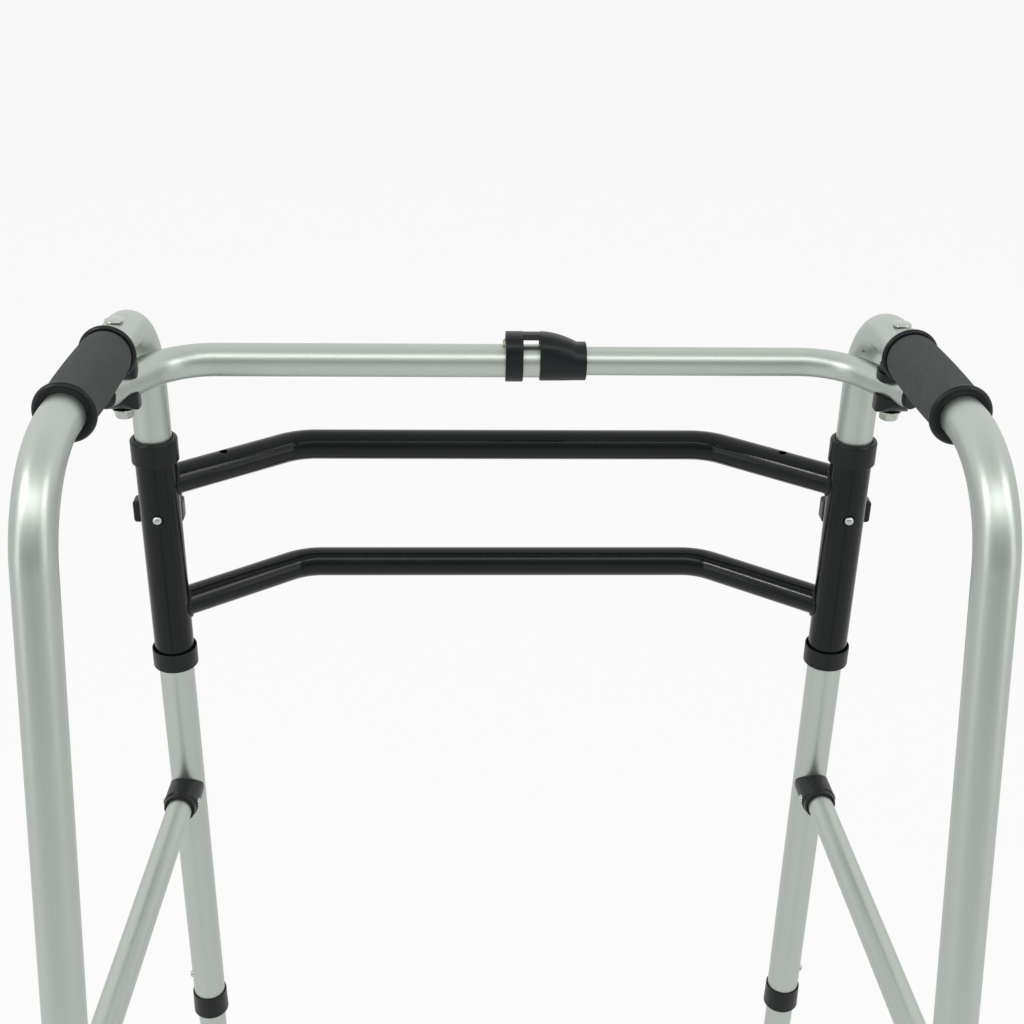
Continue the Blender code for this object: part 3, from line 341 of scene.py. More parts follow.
class WalkerStage(PropertyGroup):
    """The camera and the studio."""
    camera_place: FloatVectorProperty(
        name="Camera place", description="Where the camera stands", size=3,
        default=(-0.030873, -0.759102, 1.219465), subtype="TRANSLATION", unit="LENGTH")
    camera_pitch: FloatProperty(name="Camera pitch", description="How far it looks down",
                                default=0.47038, subtype="ANGLE")
    camera_yaw: FloatProperty(name="Camera yaw", description="How far it looks to the right",
                              default=0.03761, subtype="ANGLE")
    camera_roll: FloatProperty(name="Camera roll", description="How far it leans",
                               default=0.0178, subtype="ANGLE")
    lens: FloatProperty(name="Lens", description="Focal length in millimetres on 36 mm",
                        default=52.137)
    ambient: FloatProperty(name="Ambient", description="Level of the even light", default=0.62)
    key: FloatProperty(name="Key light", description="Power of the overhead softbox in watts",
                       default=9.5)
    fill: FloatProperty(name="Fill light", description="Power of the side softboxes in watts",
                        default=6.0)
    glint: FloatProperty(name="Glint light", description="Power of the two small lamps in watts",
                         default=5.0)


# Node trees

class Wire:
    """A node's output, on which arithmetic adds Math nodes."""

    def __init__(self, tree, socket):
        self.tree = tree
        self.socket = socket

    def __add__(self, other):
        return self.tree.maths("ADD", self, other)

    def __sub__(self, other):
        return self.tree.maths("SUBTRACT", self, other)

    def __mul__(self, other):
        return self.tree.maths("MULTIPLY", self, other)

    def __truediv__(self, other):
        return self.tree.maths("DIVIDE", self, other)

    def __radd__(self, other):
        return self.tree.maths("ADD", other, self)

    def __rsub__(self, other):
        return self.tree.maths("SUBTRACT", other, self)

    def __rmul__(self, other):
        return self.tree.maths("MULTIPLY", other, self)

    def __rtruediv__(self, other):
        return self.tree.maths("DIVIDE", other, self)


class Tree:
    """A node tree under construction, for shaders and for geometry."""

    def __init__(self, tree):
        self.tree = tree

    def node(self, kind, settings=None, sockets=None, output=0):
        """Add a node: its settings first, then values or links of its sockets."""
        node = self.tree.nodes.new(kind)
        for name, value in (settings or {}).items():
            if name == "stops":
                self.set_stops(node.color_ramp, value)
            else:
                setattr(node, name, value)
        self.feed(node, sockets or {})
        return Wire(self, node.outputs[output]) if node.outputs else node

    def feed(self, node, sockets):
        """Give a node's inputs their values or links."""
        for name, value in sockets.items():
            if isinstance(value, Wire):
                self.tree.links.new(value.socket, node.inputs[name])
            else:
                node.inputs[name].default_value = value

    @staticmethod
    def set_stops(ramp, stops):
        """Give a ramp its (position, grey) stops."""
        for index, (position, grey) in enumerate(stops):
            stop = ramp.elements[index] if index < 2 else ramp.elements.new(position)
            stop.position = position
            stop.color = (grey, grey, grey, 1.0)

    def maths(self, operation, first, second=None):
        """A Math node."""
        sockets = {0: first} if second is None else {0: first, 1: second}
        return self.node("ShaderNodeMath", {"operation": operation}, sockets)

    def noise(self, vector, scale, detail=2.0):
        """A noise value from 0 to 1."""
        return self.node("ShaderNodeTexNoise", {},
                         {"Vector": vector, "Scale": scale, "Detail": detail})

    def stretched(self, vector, scale):
        """A vector with its axes scaled."""
        return self.node("ShaderNodeVectorMath", {"operation": "MULTIPLY"},
                         {0: vector, 1: scale})

    def mixed(self, share, first, second):
        """A colour between two others."""
        return self.node("ShaderNodeMix", {"data_type": "RGBA"},
                         {0: share, 6: first, 7: second}, output=2)

    def bump(self, height, strength, distance=0.0002):
        """A normal from a height."""
        return self.node("ShaderNodeBump", {},
                         {"Height": height, "Strength": strength, "Distance": distance})

    def object_place(self):
        """Object coordinates."""
        return self.node("ShaderNodeTexCoord", output="Object")

    def tube_place(self):
        """The coordinate that runs along a tube without a seam."""
        return self.node("ShaderNodeAttribute", {"attribute_name": "tube"}, output="Vector")


def tinted(tone, factor):
    """A colour scaled, with full alpha."""
    return (*[min(1.0, part * factor) for part in tone], 1.0)


# Finishes

def draw_anodised(tree, shader, tone):
    """Satin anodised aluminium with fine lines along the tube and faint cloudiness."""
    place = tree.tube_place()
    lines = tree.noise(tree.stretched(place, (900.0, 900.0, 7.0)), 1.0, 3.0)
    clouds = tree.noise(tree.stretched(place, (60.0, 60.0, 14.0)), 1.0, 2.0)
    specks = tree.noise(tree.object_place(), 2600.0, 1.0)
    mix = lines * 0.6 + clouds * 0.4
    tree.feed(shader, {
        "Base Color": tree.mixed(mix, tinted(tone, 0.94), tinted(tone, 1.05)),
        "Roughness": 0.30 + lines * 0.10 + clouds * 0.05,
        "Normal": tree.bump(lines + specks * 0.35, 0.05),
    })


def draw_paint(tree, shader, tone):
    """Glossy powder coat with orange peel."""
    place = tree.object_place()
    peel = tree.noise(place, 420.0, 2.0)
    broad = tree.noise(place, 40.0, 2.0)
    tree.feed(shader, {
        "Base Color": tree.mixed(broad, tinted(tone, 0.85), tinted(tone, 1.2)),
        "Roughness": 0.13 + broad * 0.07,
        "Normal": tree.bump(peel, 0.10, 0.0003),
    })


def draw_plastic(tree, shader, tone):
    """Satin moulded plastic with a fine grain."""
    place = tree.object_place()
    grain = tree.noise(place, 2400.0, 2.0)
    broad = tree.noise(place, 55.0, 2.0)
    tree.feed(shader, {
        "Base Color": tree.mixed(broad, tinted(tone, 0.85), tinted(tone, 1.2)),
        "Roughness": 0.27 + broad * 0.08 + grain * 0.05,
        "Normal": tree.bump(grain, 0.06),
    })


def draw_foam(tree, shader, tone):
    """Closed-cell foam: small open pores, darkened with painted shade inside them, in a mottled
    skin.
    """
    place = tree.object_place()
    cells = tree.node("ShaderNodeTexVoronoi", {"feature": "F1"},
                      {"Vector": place, "Scale": 1150.0, "Randomness": 1.0})
    pores = tree.node("ShaderNodeValToRGB", {"stops": ((0.12, 0.0), (0.42, 1.0))}, {0: cells})
    fine = tree.noise(place, 3200.0, 2.0)
    broad = tree.noise(place, 120.0, 3.0)
    skin_tone = tree.mixed(broad, tinted(tone, 0.86), tinted(tone, 1.16))
    # The base colour makes the pores darker: painted shade inside the pits. Their bump is real.
    tree.feed(shader, {
        "Base Color": tree.mixed(pores, tinted(tone, 0.70), skin_tone),
        "Roughness": 0.82 + fine * 0.14,
        "Normal": tree.bump(pores * 0.6 + fine * 0.5, 0.45),
    })


def draw_zinc(tree, shader, tone):
    """Zinc plating with a faint crystal mottle."""
    place = tree.object_place()
    cells = tree.node("ShaderNodeTexVoronoi", {"feature": "F1"},
                      {"Vector": place, "Scale": 500.0, "Randomness": 1.0})
    fine = tree.noise(place, 1800.0, 2.0)
    tree.feed(shader, {
        "Base Color": tree.mixed(cells, tinted(tone, 0.86), tinted(tone, 1.12)),
        "Roughness": 0.20 + cells * 0.05 + fine * 0.03,
        "Normal": tree.bump(fine, 0.03),
    })


def draw_wire(tree, shader, tone):
    """Bright drawn wire."""
    place = tree.object_place()
    fine = tree.noise(place, 1500.0, 2.0)
    tree.feed(shader, {
        "Base Color": tree.mixed(fine, tinted(tone, 0.85), tinted(tone, 1.15)),
        "Roughness": 0.22 + fine * 0.12,
        "Normal": tree.bump(fine, 0.08, 0.0001),
    })


def draw_nylon(tree, shader, tone):
    """Natural nylon, slightly cloudy."""
    place = tree.object_place()
    cloudy = tree.noise(place, 150.0, 2.0)
    fine = tree.noise(place, 2000.0, 2.0)
    tree.feed(shader, {
        "Base Color": tree.mixed(cloudy, tinted(tone, 0.92), tinted(tone, 1.05)),
        "Roughness": 0.40 + fine * 0.15,
        "Normal": tree.bump(fine, 0.08),
    })


def draw_rubber(tree, shader, tone):
    """Matt moulded rubber, dusty in patches."""
    place = tree.object_place()
    fine = tree.noise(place, 1900.0, 3.0)
    dusty = tree.noise(place, 70.0, 4.0)
    tree.feed(shader, {
        "Base Color": tree.mixed(dusty, tinted(tone, 0.80), tinted(tone, 1.55)),
        "Roughness": 0.62 + dusty * 0.20 + fine * 0.08,
        "Normal": tree.bump(fine, 0.16, 0.0003),
    })


# For each slot of the record: how its finish is drawn, and the shader values that stay even.
FINISHES = {
    "anodised_tube": (draw_anodised, {"Metallic": 0.94}),
    "black_paint": (draw_paint, {"Specular IOR Level": 0.24}),
    "black_plastic": (draw_plastic, {"Specular IOR Level": 0.28}),
    "grip_foam": (draw_foam, {"Specular IOR Level": 0.15}),
    "zinc_steel": (draw_zinc, {"Metallic": 1.0}),
    "spring_wire": (draw_wire, {"Metallic": 1.0}),
    "nylon": (draw_nylon, {"Subsurface Weight": 0.08}),
    "foot_rubber": (draw_rubber, {"Specular IOR Level": 0.4}),
}


def finish(slot):
    """The material of a slot, made when it is first asked for."""
    name = "walker_" + slot
    if name in bpy.data.materials:
        return bpy.data.materials[name]
    draw, even = FINISHES[slot]
    tone = getattr(bpy.context.scene.walker_finishes, slot)
    material = bpy.data.materials.new(name)
    material.use_nodes = True
    shader = material.node_tree.nodes["Principled BSDF"]
    for socket, value in even.items():
        shader.inputs[socket].default_value = value
    draw(Tree(material.node_tree), shader, tuple(tone))
    return material


# Geometry node trees

def input_of(tree, name, kind, default=None):
    """Add a named input to a geometry tree."""
    socket = tree.interface.new_socket(name=name, in_out="INPUT", socket_type=kind)
    if default is not None:
        socket.default_value = default
    return socket


def new_geometry_tree(name, inputs):
    """A geometry tree with its named inputs, and the wires of those inputs by name."""
    group = bpy.data.node_groups.new(name, "GeometryNodeTree")
    input_of(group, "Geometry", "NodeSocketGeometry")
    for label, kind, default in inputs:
        input_of(group, label, kind, default)
    group.interface.new_socket(name="Geometry", in_out="OUTPUT", socket_type="NodeSocketGeometry")
    tree = Tree(group)
    source = group.nodes.new("NodeGroupInput")
    wires = {socket.name: Wire(tree, socket) for socket in source.outputs if socket.name}
    return group, tree, wires


def close_tree(tree, geometry, material):
    """End a geometry tree with real geometry that has its material."""
    solid = tree.node("GeometryNodeRealizeInstances", {}, {"Geometry": geometry})
    painted = tree.node("GeometryNodeSetMaterial", {}, {"Geometry": solid, "Material": material})
    tree.node("NodeGroupOutput", {}, {"Geometry": painted})


def path_tree():
    """The tree that sweeps a round section along a path."""
    name = "round_section_along_path"
    if name in bpy.data.node_groups:
        return bpy.data.node_groups[name]
    group, tree, wires = new_geometry_tree(name, (
        ("Radius", "NodeSocketFloat", 0.01),
        ("Sides", "NodeSocketInt", TUBE_SIDES),
        ("Capped", "NodeSocketBool", False),
        ("Material", "NodeSocketMaterial", None),
    ))
    path = tree.node("GeometryNodeMeshToCurve", {}, {"Mesh": wires["Geometry"]})
    section = tree.node("GeometryNodeCurvePrimitiveCircle", {"mode": "RADIUS"},
                        {"Resolution": wires["Sides"], "Radius": wires["Radius"]})
    swept = tree.node("GeometryNodeCurveToMesh", {},
                      {"Curve": path, "Profile Curve": section, "Fill Caps": wires["Capped"]})
    close_tree(tree, swept, wires["Material"])
    return group


def weld_tree():
    """The tree that lays a rippled weld bead along a closed path."""
    name = "weld_bead_along_path"
    if name in bpy.data.node_groups:
        return bpy.data.node_groups[name]
    group, tree, wires = new_geometry_tree(name, (
        ("Radius", "NodeSocketFloat", 0.0015),
        ("Pitch", "NodeSocketFloat", 0.0024),
        ("Ripple", "NodeSocketFloat", 0.22),
        ("Step", "NodeSocketFloat", 0.0003),
        ("Sides", "NodeSocketInt", 16),
        ("Material", "NodeSocketMaterial", None),
    ))
    path = tree.node("GeometryNodeMeshToCurve", {}, {"Mesh": wires["Geometry"]})
    even = tree.node("GeometryNodeResampleCurve", {"mode": "LENGTH"},
                     {"Curve": path, "Length": wires["Step"]})
    along = tree.node("GeometryNodeSplineParameter", output="Length")
    wave = tree.maths("ABSOLUTE", tree.maths("SINE", along * math.pi / wires["Pitch"]))
    unevenness = tree.node("ShaderNodeTexNoise", {}, {"Scale": 260.0, "Detail": 1.0})
    size = 1.0 + wires["Ripple"] * (wave + unevenness * 1.2 - 1.2)
    section = tree.node("GeometryNodeCurvePrimitiveCircle", {"mode": "RADIUS"},
                        {"Resolution": wires["Sides"], "Radius": wires["Radius"]})
    swept = tree.node("GeometryNodeCurveToMesh", {},
                      {"Curve": even, "Profile Curve": section, "Scale": size})
    close_tree(tree, swept, wires["Material"])
    return group


def copies_tree():
    """The tree that sets a copy of a pattern on each point, turned as the point says."""
    name = "copies_on_points"
    if name in bpy.data.node_groups:
        return bpy.data.node_groups[name]
    group, tree, wires = new_geometry_tree(name, (
        ("Pattern", "NodeSocketObject", None),
        ("Material", "NodeSocketMaterial", None),
    ))
    pattern = tree.node("GeometryNodeObjectInfo", {"transform_space": "ORIGINAL"},
                        {"Object": wires["Pattern"], "As Instance": True}, output="Geometry")
    turn = tree.node("GeometryNodeInputNamedAttribute", {"data_type": "QUATERNION"},
                     {"Name": "turn"})
    copies = tree.node("GeometryNodeInstanceOnPoints", {},
                       {"Points": wires["Geometry"], "Instance": pattern, "Rotation": turn})
    close_tree(tree, copies, wires["Material"])
    return group


def run_tree(thing, group, values):
    """Put a geometry tree on a thing, set its inputs by identifier and make it plain mesh."""
    modifier = thing.modifiers.new(group.name, "NODES")
    modifier.node_group = group
    for item in group.interface.items_tree:
        if item.item_type == "SOCKET" and item.in_out == "INPUT" and item.name in values:
            modifier[item.identifier] = values[item.name]
    return settle(thing)


# Shapes

def add_thing(name, mesh):
    """An object for a mesh."""
    thing = bpy.data.objects.new(name, mesh)
    bpy.context.scene.collection.objects.link(thing)
    return thing


def remove_thing(thing):
    """Remove an object and its mesh."""
    mesh = thing.data
    bpy.data.objects.remove(thing, do_unlink=True)
    bpy.data.meshes.remove(mesh)


def settle(thing):
    """Turn a thing's modifiers into plain mesh."""
    bpy.context.view_layer.update()
    evaluated = thing.evaluated_get(bpy.context.evaluated_depsgraph_get())
    mesh = bpy.data.meshes.new_from_object(evaluated)
    old = thing.data
    thing.modifiers.clear()
    thing.data = mesh
    bpy.data.meshes.remove(old)
    mesh.name = thing.name
    return thing


def from_bmesh(name, shape):
    """A thing that holds a bmesh, with its faces pointing out."""
    bmesh.ops.recalc_face_normals(shape, faces=shape.faces)
    mesh = bpy.data.meshes.new(name)
    shape.to_mesh(mesh)
    shape.free()
    return add_thing(name, mesh)


def smoothed(thing, angle=38.0):
    """Shade a thing smooth, with crisp edges and flat faces that stay flat."""
    thing.data.shade_smooth()
    thing.data.set_sharp_from_angle(angle=math.radians(angle))
    weighted = thing.modifiers.new("weighted normals", "WEIGHTED_NORMAL")
    weighted.keep_sharp = True
    return settle(thing)


def bridge(shape, near, far):
    """Faces between two loops of corners, either of which may be a single pole."""
    count = max(len(near), len(far))
    for index in range(count):
        after = (index + 1) % count
        corners = [near[index % len(near)], near[after % len(near)],
                   far[after % len(far)], far[index % len(far)]]
        shape.faces.new(list(dict.fromkeys(corners)))


def arc(centre, radius, start, end, steps):
    """Points on an arc between two angles in radians."""
    angles = [start + (end - start) * step / steps for step in range(steps + 1)]
    return [(centre[0] + radius * math.cos(angle), centre[1] + radius * math.sin(angle))
            for angle in angles]


def filleted(corners, radii, step):
    """A path through corners, each rounded with its own radius in steps of an angle."""
    corners = [Vector(corner) for corner in corners]
    path = [corners[0]]
    for before, corner, after, radius in zip(corners, corners[1:], corners[2:], radii):
        to_before = (before - corner).normalized()
        to_after = (after - corner).normalized()
        turn = math.pi - to_before.angle(to_after)
        if turn < 1e-5 or radius <= 0.0:
            path.append(corner)
            continue
        reach = radius * math.tan(turn / 2)
        start = corner + to_before * reach
        inwards = (to_before + to_after).normalized()
        centre = corner + inwards * (radius / math.cos(turn / 2))
        out = (start - centre).normalized()
        steps = max(2, math.ceil(turn / step))
        for index in range(steps + 1):
            angle = turn * index / steps
            path.append(centre + radius * (out * math.cos(angle) - to_before * math.sin(angle)))
    path.append(corners[-1])
    return path


def softened(profile, radius, closed):
    """A turned profile with its corners rounded, apart from those on the axis."""
    points = [Vector((*pair, 0.0)) for pair in profile]
    count = len(points)
    result = []
    for index, corner in enumerate(points):
        ends = not closed and index in (0, count - 1)
        if ends or corner.x < 1e-7:
            result.append(tuple(corner[:2]))
            continue
        before = points[index - 1]
        after = points[(index + 1) % count]
        shortest = min((before - corner).length, (after - corner).length)
        turn = math.pi - (before - corner).angle(after - corner)
        if turn < math.radians(12.0):
            result.append(tuple(corner[:2]))
            continue
        fitting = min(radius, 0.45 * shortest / math.tan(turn / 2))
        rounded = filleted((before, corner, after), (fitting,), turn / CORNER_STEPS)
        result += [tuple(point[:2]) for point in rounded[1:-1]]
    return result


def turned(name, profile, place, closed=True, soft=0.0, steps=TURN_STEPS):
    """A profile of (radius, height) pairs turned about the Z axis of a place."""
    if soft:
        profile = softened(profile, soft, closed)
    shape = bmesh.new()
    angles = [math.tau * step / steps for step in range(steps)]
    loops = []
    for radius, height in profile:
        if radius < 1e-7:
            loops.append([shape.verts.new(place @ Vector((0.0, 0.0, height)))])
        else:
            loops.append([shape.verts.new(place @ Vector((radius * math.cos(angle),
                                                          radius * math.sin(angle), height)))
                          for angle in angles])
    following = loops[1:] + loops[:1] if closed else loops[1:]
    for near, far in zip(loops, following):
        bridge(shape, near, far)
    return from_bmesh(name, shape)


def ring_profile(bore, radius, low, high):
    """The profile of a plain ring."""
    return ((radius, high), (radius, low), (bore, low), (bore, high))


def prism(name, outline, low, high, place):
    """A flat outline between two heights of a place."""
    shape = bmesh.new()
    loops = [[shape.verts.new(place @ Vector((*point, height))) for point in outline]
             for height in (low, high)]
    bridge(shape, *loops)
    for loop in loops:
        shape.faces.new(loop)
    return from_bmesh(name, shape)


def rod(start, end, radius, sides=HOLE_SIDES):
    """A plain cylinder between two points, to cut or to join with."""
    start = Vector(start)
    axis = Vector(end) - start
    place = Matrix.Translation(start) @ axis.to_track_quat("Z", "Y").to_matrix().to_4x4()
    profile = ((0.0, axis.length), (radius, axis.length), (radius, 0.0), (0.0, 0.0))
    return turned("rod", profile, place, closed=False, steps=sides)


def rounded_box(name, size, place, radius, segments=5):
    """A box with round edges about the origin of a place."""
    shape = bmesh.new()
    bmesh.ops.create_cube(shape, size=1.0, matrix=Matrix.Diagonal((*size, 1.0)))
    bmesh.ops.bevel(shape, geom=shape.edges[:], offset=radius, segments=segments, profile=0.5,
                    affect="EDGES")
    bmesh.ops.transform(shape, matrix=place, verts=shape.verts)
    return from_bmesh(name, shape)


def combined(thing, operation, others):
    """Cut other things from a thing, or join them to it, and use them up."""
    for other in others:
        modifier = thing.modifiers.new("shape", "BOOLEAN")
        modifier.operation = operation
        modifier.solver = "EXACT"
        modifier.object = other
    settle(thing)
    if not thing.data.polygons:
        raise RuntimeError(thing.name + " has no faces left")
    for other in others:
        remove_thing(other)
    return thing


def cut(thing, *others):
    """Cut other things from a thing."""
    return combined(thing, "DIFFERENCE", others)


def join(thing, *others):
    """Join other things to a thing."""
    return combined(thing, "UNION", others)


def edged(thing, width):
    """Round a thing's sharp edges."""
    modifier = thing.modifiers.new("edges", "BEVEL")
    modifier.width = width
    modifier.segments = 3
    modifier.limit_method = "ANGLE"
    modifier.angle_limit = math.radians(35.0)
    return settle(thing)


def divided(path):
    """A path with its long straight runs cut into shorter ones."""
    result = [Vector(path[0])]
    for before, after in zip(path, path[1:]):
        count = math.ceil((after - before).length / STRAIGHT_STEP)
        result += [before.lerp(after, (index + 1) / count) for index in range(count)]
    return result


def line_thing(name, path, closed=False):
    """A thing that is only a line through the points of a path."""
    count = len(path)
    links = [(index, (index + 1) % count) for index in range(count if closed else count - 1)]
    mesh = bpy.data.meshes.new(name)
    mesh.from_pydata([tuple(point) for point in path], links, [])
    return add_thing(name, mesh)


def tube(name, path, radius, wall, slot, sides=TUBE_SIDES):
    """A round tube along a path, hollow where it has a wall."""
    thing = line_thing(name, divided(path))
    run_tree(thing, path_tree(), {"Radius": radius, "Sides": sides, "Capped": wall is None,
                                  "Material": finish(slot)})
    if wall is not None:
        shell = thing.modifiers.new("wall", "SOLIDIFY")
        shell.thickness = wall
        shell.offset = -1.0
        settle(thing)
    return thing


def copies(name, pattern, places, slot):
    """Copies of a pattern at several places, as one thing. The pattern is used up."""
    mesh = bpy.data.meshes.new(name)
    mesh.from_pydata([tuple(place.translation) for place in places], [], [])
    turns = mesh.attributes.new("turn", "QUATERNION", "POINT")
    for entry, place in zip(turns.data, places):
        entry.value = place.to_quaternion()
    thing = add_thing(name, mesh)
    run_tree(thing, copies_tree(), {"Pattern": pattern, "Material": finish(slot)})
    remove_thing(pattern)
    return thing


def numbers_of(elements, name, width=1, kind=float):
    """A property of a mesh's elements as an array, with a row for each where it is wide."""
    numbers = np.zeros(len(elements) * width, dtype=kind)
    elements.foreach_get(name, numbers)
    return numbers.reshape(-1, width) if width > 1 else numbers


def about_path(corners, points):
    """How corners lie about a path: offsets square to it, ways along it, and its first heading."""
    starts = points[:-1]
    spans = points[1:] - starts
    lengths = np.linalg.norm(spans, axis=1)
    along_starts = np.concatenate(([0.0], np.cumsum(lengths)[:-1]))
    tangents = spans / lengths[:, None]
    knots = np.vstack((tangents[:1], tangents[:-1] + tangents[1:], tangents[-1:]))
    knots /= np.linalg.norm(knots, axis=1)[:, None]
    radial = np.zeros_like(corners)
    along = np.zeros(len(corners))
    for first in range(0, len(corners), CORNERS_AT_ONCE):
        some = corners[first:first + CORNERS_AT_ONCE, None, :]
        share = np.clip(((some - starts) * spans).sum(2) / lengths ** 2, 0.0, 1.0)
        offset = some - (starts + share[:, :, None] * spans)
        nearest = (offset ** 2).sum(2).argmin(1)
        rows = np.arange(len(nearest))
        part = share[rows, nearest][:, None]
        tangent = knots[nearest] * (1.0 - part) + knots[nearest + 1] * part
        tangent /= np.linalg.norm(tangent, axis=1)[:, None]
        away = offset[rows, nearest]
        away = away - (away * tangent).sum(1)[:, None] * tangent
        radial[first:first + CORNERS_AT_ONCE] = away
        along[first:first + CORNERS_AT_ONCE] = (along_starts[nearest]
                                                + part[:, 0] * lengths[nearest])
    return radial, along, knots[0]


def give_round_normals(mesh, directions):
    """Give a tube's walls the normals of a true round, and leave its cut faces flat."""
    mesh.shade_smooth()
    face_sizes = numbers_of(mesh.polygons, "loop_total", kind=int)
    flat = np.repeat(numbers_of(mesh.polygons, "normal", 3), face_sizes, axis=0)
    outward = directions[numbers_of(mesh.loops, "vertex_index", kind=int)]
    facing = (flat * outward).sum(1)
    normals = np.where((facing > 0.85)[:, None], outward, flat)
    normals = np.where((facing < -0.85)[:, None], -outward, normals)
    mesh.normals_split_custom_set(normals.tolist())


def skinned(thing, path):
    """Give a tube its seamless coordinate along a path, and normals that are truly round."""
    mesh = thing.data
    points = np.array([tuple(point) for point in path])
    radial, along, heading = about_path(numbers_of(mesh.vertices, "co", 3), points)
    sizes = np.linalg.norm(radial, axis=1)
    directions = radial / np.maximum(sizes, 1e-9)[:, None]
    across = path_side(points)
    upright = np.cross(across, heading)
    turned_by = np.arctan2(directions @ upright, directions @ across)
    coordinate = np.stack((sizes * np.cos(turned_by), sizes * np.sin(turned_by), along), axis=1)
    attribute = mesh.attributes.new("tube", "FLOAT_VECTOR", "POINT")
    attribute.data.foreach_set("vector", coordinate.ravel())
    give_round_normals(mesh, directions)
    return thing


def path_side(points):
    """A direction square to a flat path's plane, or to a straight path."""
    first = points[1] - points[0]
    last = points[-1] - points[-2]
    side = np.cross(first, last)
    if np.linalg.norm(side) < 1e-9:
        spare = (1.0, 0.0, 0.0) if abs(first[0]) < np.linalg.norm(first) * 0.9 else (0.0, 1.0, 0.0)
        side = np.cross(first, spare)
    return side / np.linalg.norm(side)


def place_piece(thing, body, slot, *nodes):
    """Finish a thing, hang it on its body and let it stand for its nodes."""
    material = finish(slot)
    mesh = thing.data
    mesh.materials.clear()
    mesh.materials.append(material)
    mesh.polygons.foreach_set("material_index", [0] * len(mesh.polygons))
    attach(thing, body)
    if nodes:
        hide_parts(*nodes)
    return thing


# Places

def frame_at(origin, z_axis, x_axis):
    """A right-handed place from its origin, its Z axis and its X axis."""
    z_axis = Vector(z_axis).normalized()
    x_axis = Vector(x_axis).normalized()
    y_axis = z_axis.cross(x_axis)
    turn = Matrix((x_axis, y_axis, z_axis)).transposed().to_4x4()
    return Matrix.Translation(origin) @ turn


def handle_height(size):
    """The height of the handles' centreline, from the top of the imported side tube."""
    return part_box("left_side_tube")[1].z - size.leg_radius


def side_point(sign, back, height):
    """A point of a side frame: how far behind its front leg, and how high."""
    across = AXIS.x + back * math.sin(SPLAY)
    forward = AXIS.y - back * math.cos(SPLAY)
    return Vector((sign * across, forward, height))


def backwards(sign):
    """The level direction along a side frame, away from its front leg."""
    return Vector((sign * math.sin(SPLAY), -math.cos(SPLAY), 0.0))


def outwards(sign):
    """The level direction square to a side frame, away from the user."""
    return Vector((sign * math.cos(SPLAY), math.sin(SPLAY), 0.0))


def axis_point(size, sign, drop=0.0):
    """A point on a front-leg axis, so far below the handle's centre."""
    return Vector((sign * AXIS.x, AXIS.y, handle_height(size) - drop))


def rear_corner(size):
    """Where a handle's line and its rear leg's line meet, as back and height."""
    turn = math.pi / 2 - size.rear_slant
    reach = size.rear_bend * math.tan(turn / 2)
    return size.front_bend + size.handle_run + reach, handle_height(size)


def leg_back(size, end, height):
    """How far back a leg's axis is at a height."""
    if end == "front":
        return 0.0
    back, top = rear_corner(size)
    return back + (top - height) * math.tan(size.rear_slant)


def side_path(size, sign, step):
    """The centreline of a side tube, from front mouth to rear mouth."""
    rear_back, top = rear_corner(size)
    corners = (
        side_point(sign, 0.0, size.leg_end),
        side_point(sign, 0.0, top),
        side_point(sign, rear_back, top),
        side_point(sign, leg_back(size, "rear", size.leg_end), size.leg_end),
    )
    return filleted(corners, (size.front_bend, size.rear_bend), step)


def leg_slant(size, end):
    """The slant of a front or a rear leg."""
    return size.rear_slant if end == "rear" else 0.0


def leg_frame(size, sign, end):
    """A leg's place: origin on the floor, Z up along the leg and X outwards."""
    foot = side_point(sign, leg_back(size, end, 0.0), 0.0)
    top = side_point(sign, leg_back(size, end, size.leg_end), size.leg_end)
    return frame_at(foot, top - foot, outwards(sign))


def along_leg(size, end, height):
    """The distance along a leg from the floor to a height."""
    return height / math.cos(leg_slant(size, end))


def bar_end_direction(size, sign):
    """The level direction of an end of the top bar, outwards and back."""
    return Vector((sign * math.cos(size.bar_turn), -math.sin(size.bar_turn), 0.0))


def bar_end(size, sign, overhang):
    """A point on the straight end of the top bar, so far past its bolt."""
    bolt = side_point(sign, PIVOT_BACK, BAR_HEIGHT)
    return bolt + bar_end_direction(size, sign) * overhang


def bar_path(size, sign, reach, step, overhang=None):
    """The centreline of one half of the top bar, from its end to a place across."""
    end = bar_end(size, sign, size.bar_overhang if overhang is None else overhang)
    run = (BAR_Y - end.y) / math.sin(size.bar_turn)
    corner = end - bar_end_direction(size, sign) * run
    return filleted((end, corner, (reach, BAR_Y, BAR_HEIGHT)), (size.bar_bend,), step)


def crossbar_path(size, drop, step):
    """The centreline of a crossbar, from leg axis to leg axis."""
    height = handle_height(size) - drop
    front = AXIS.y + size.crossbar_forward
    corners = (
        Vector((-AXIS.x, AXIS.y, height)),
        Vector((-size.crossbar_corner, front, height)),
        Vector((size.crossbar_corner, front, height)),
        Vector((AXIS.x, AXIS.y, height)),
    )
    return filleted(corners, (size.crossbar_bend, size.crossbar_bend), step)


# Side frames

def sector(inner, outer, start, end):
    """The outline of a slice of a ring between two angles in degrees."""
    steps = max(3, round((end - start) / 5.0))
    first = math.radians(start)
    last = math.radians(end)
    near = arc((0.0, 0.0), inner, last, first, steps)
    return arc((0.0, 0.0), outer, first, last, steps) + near


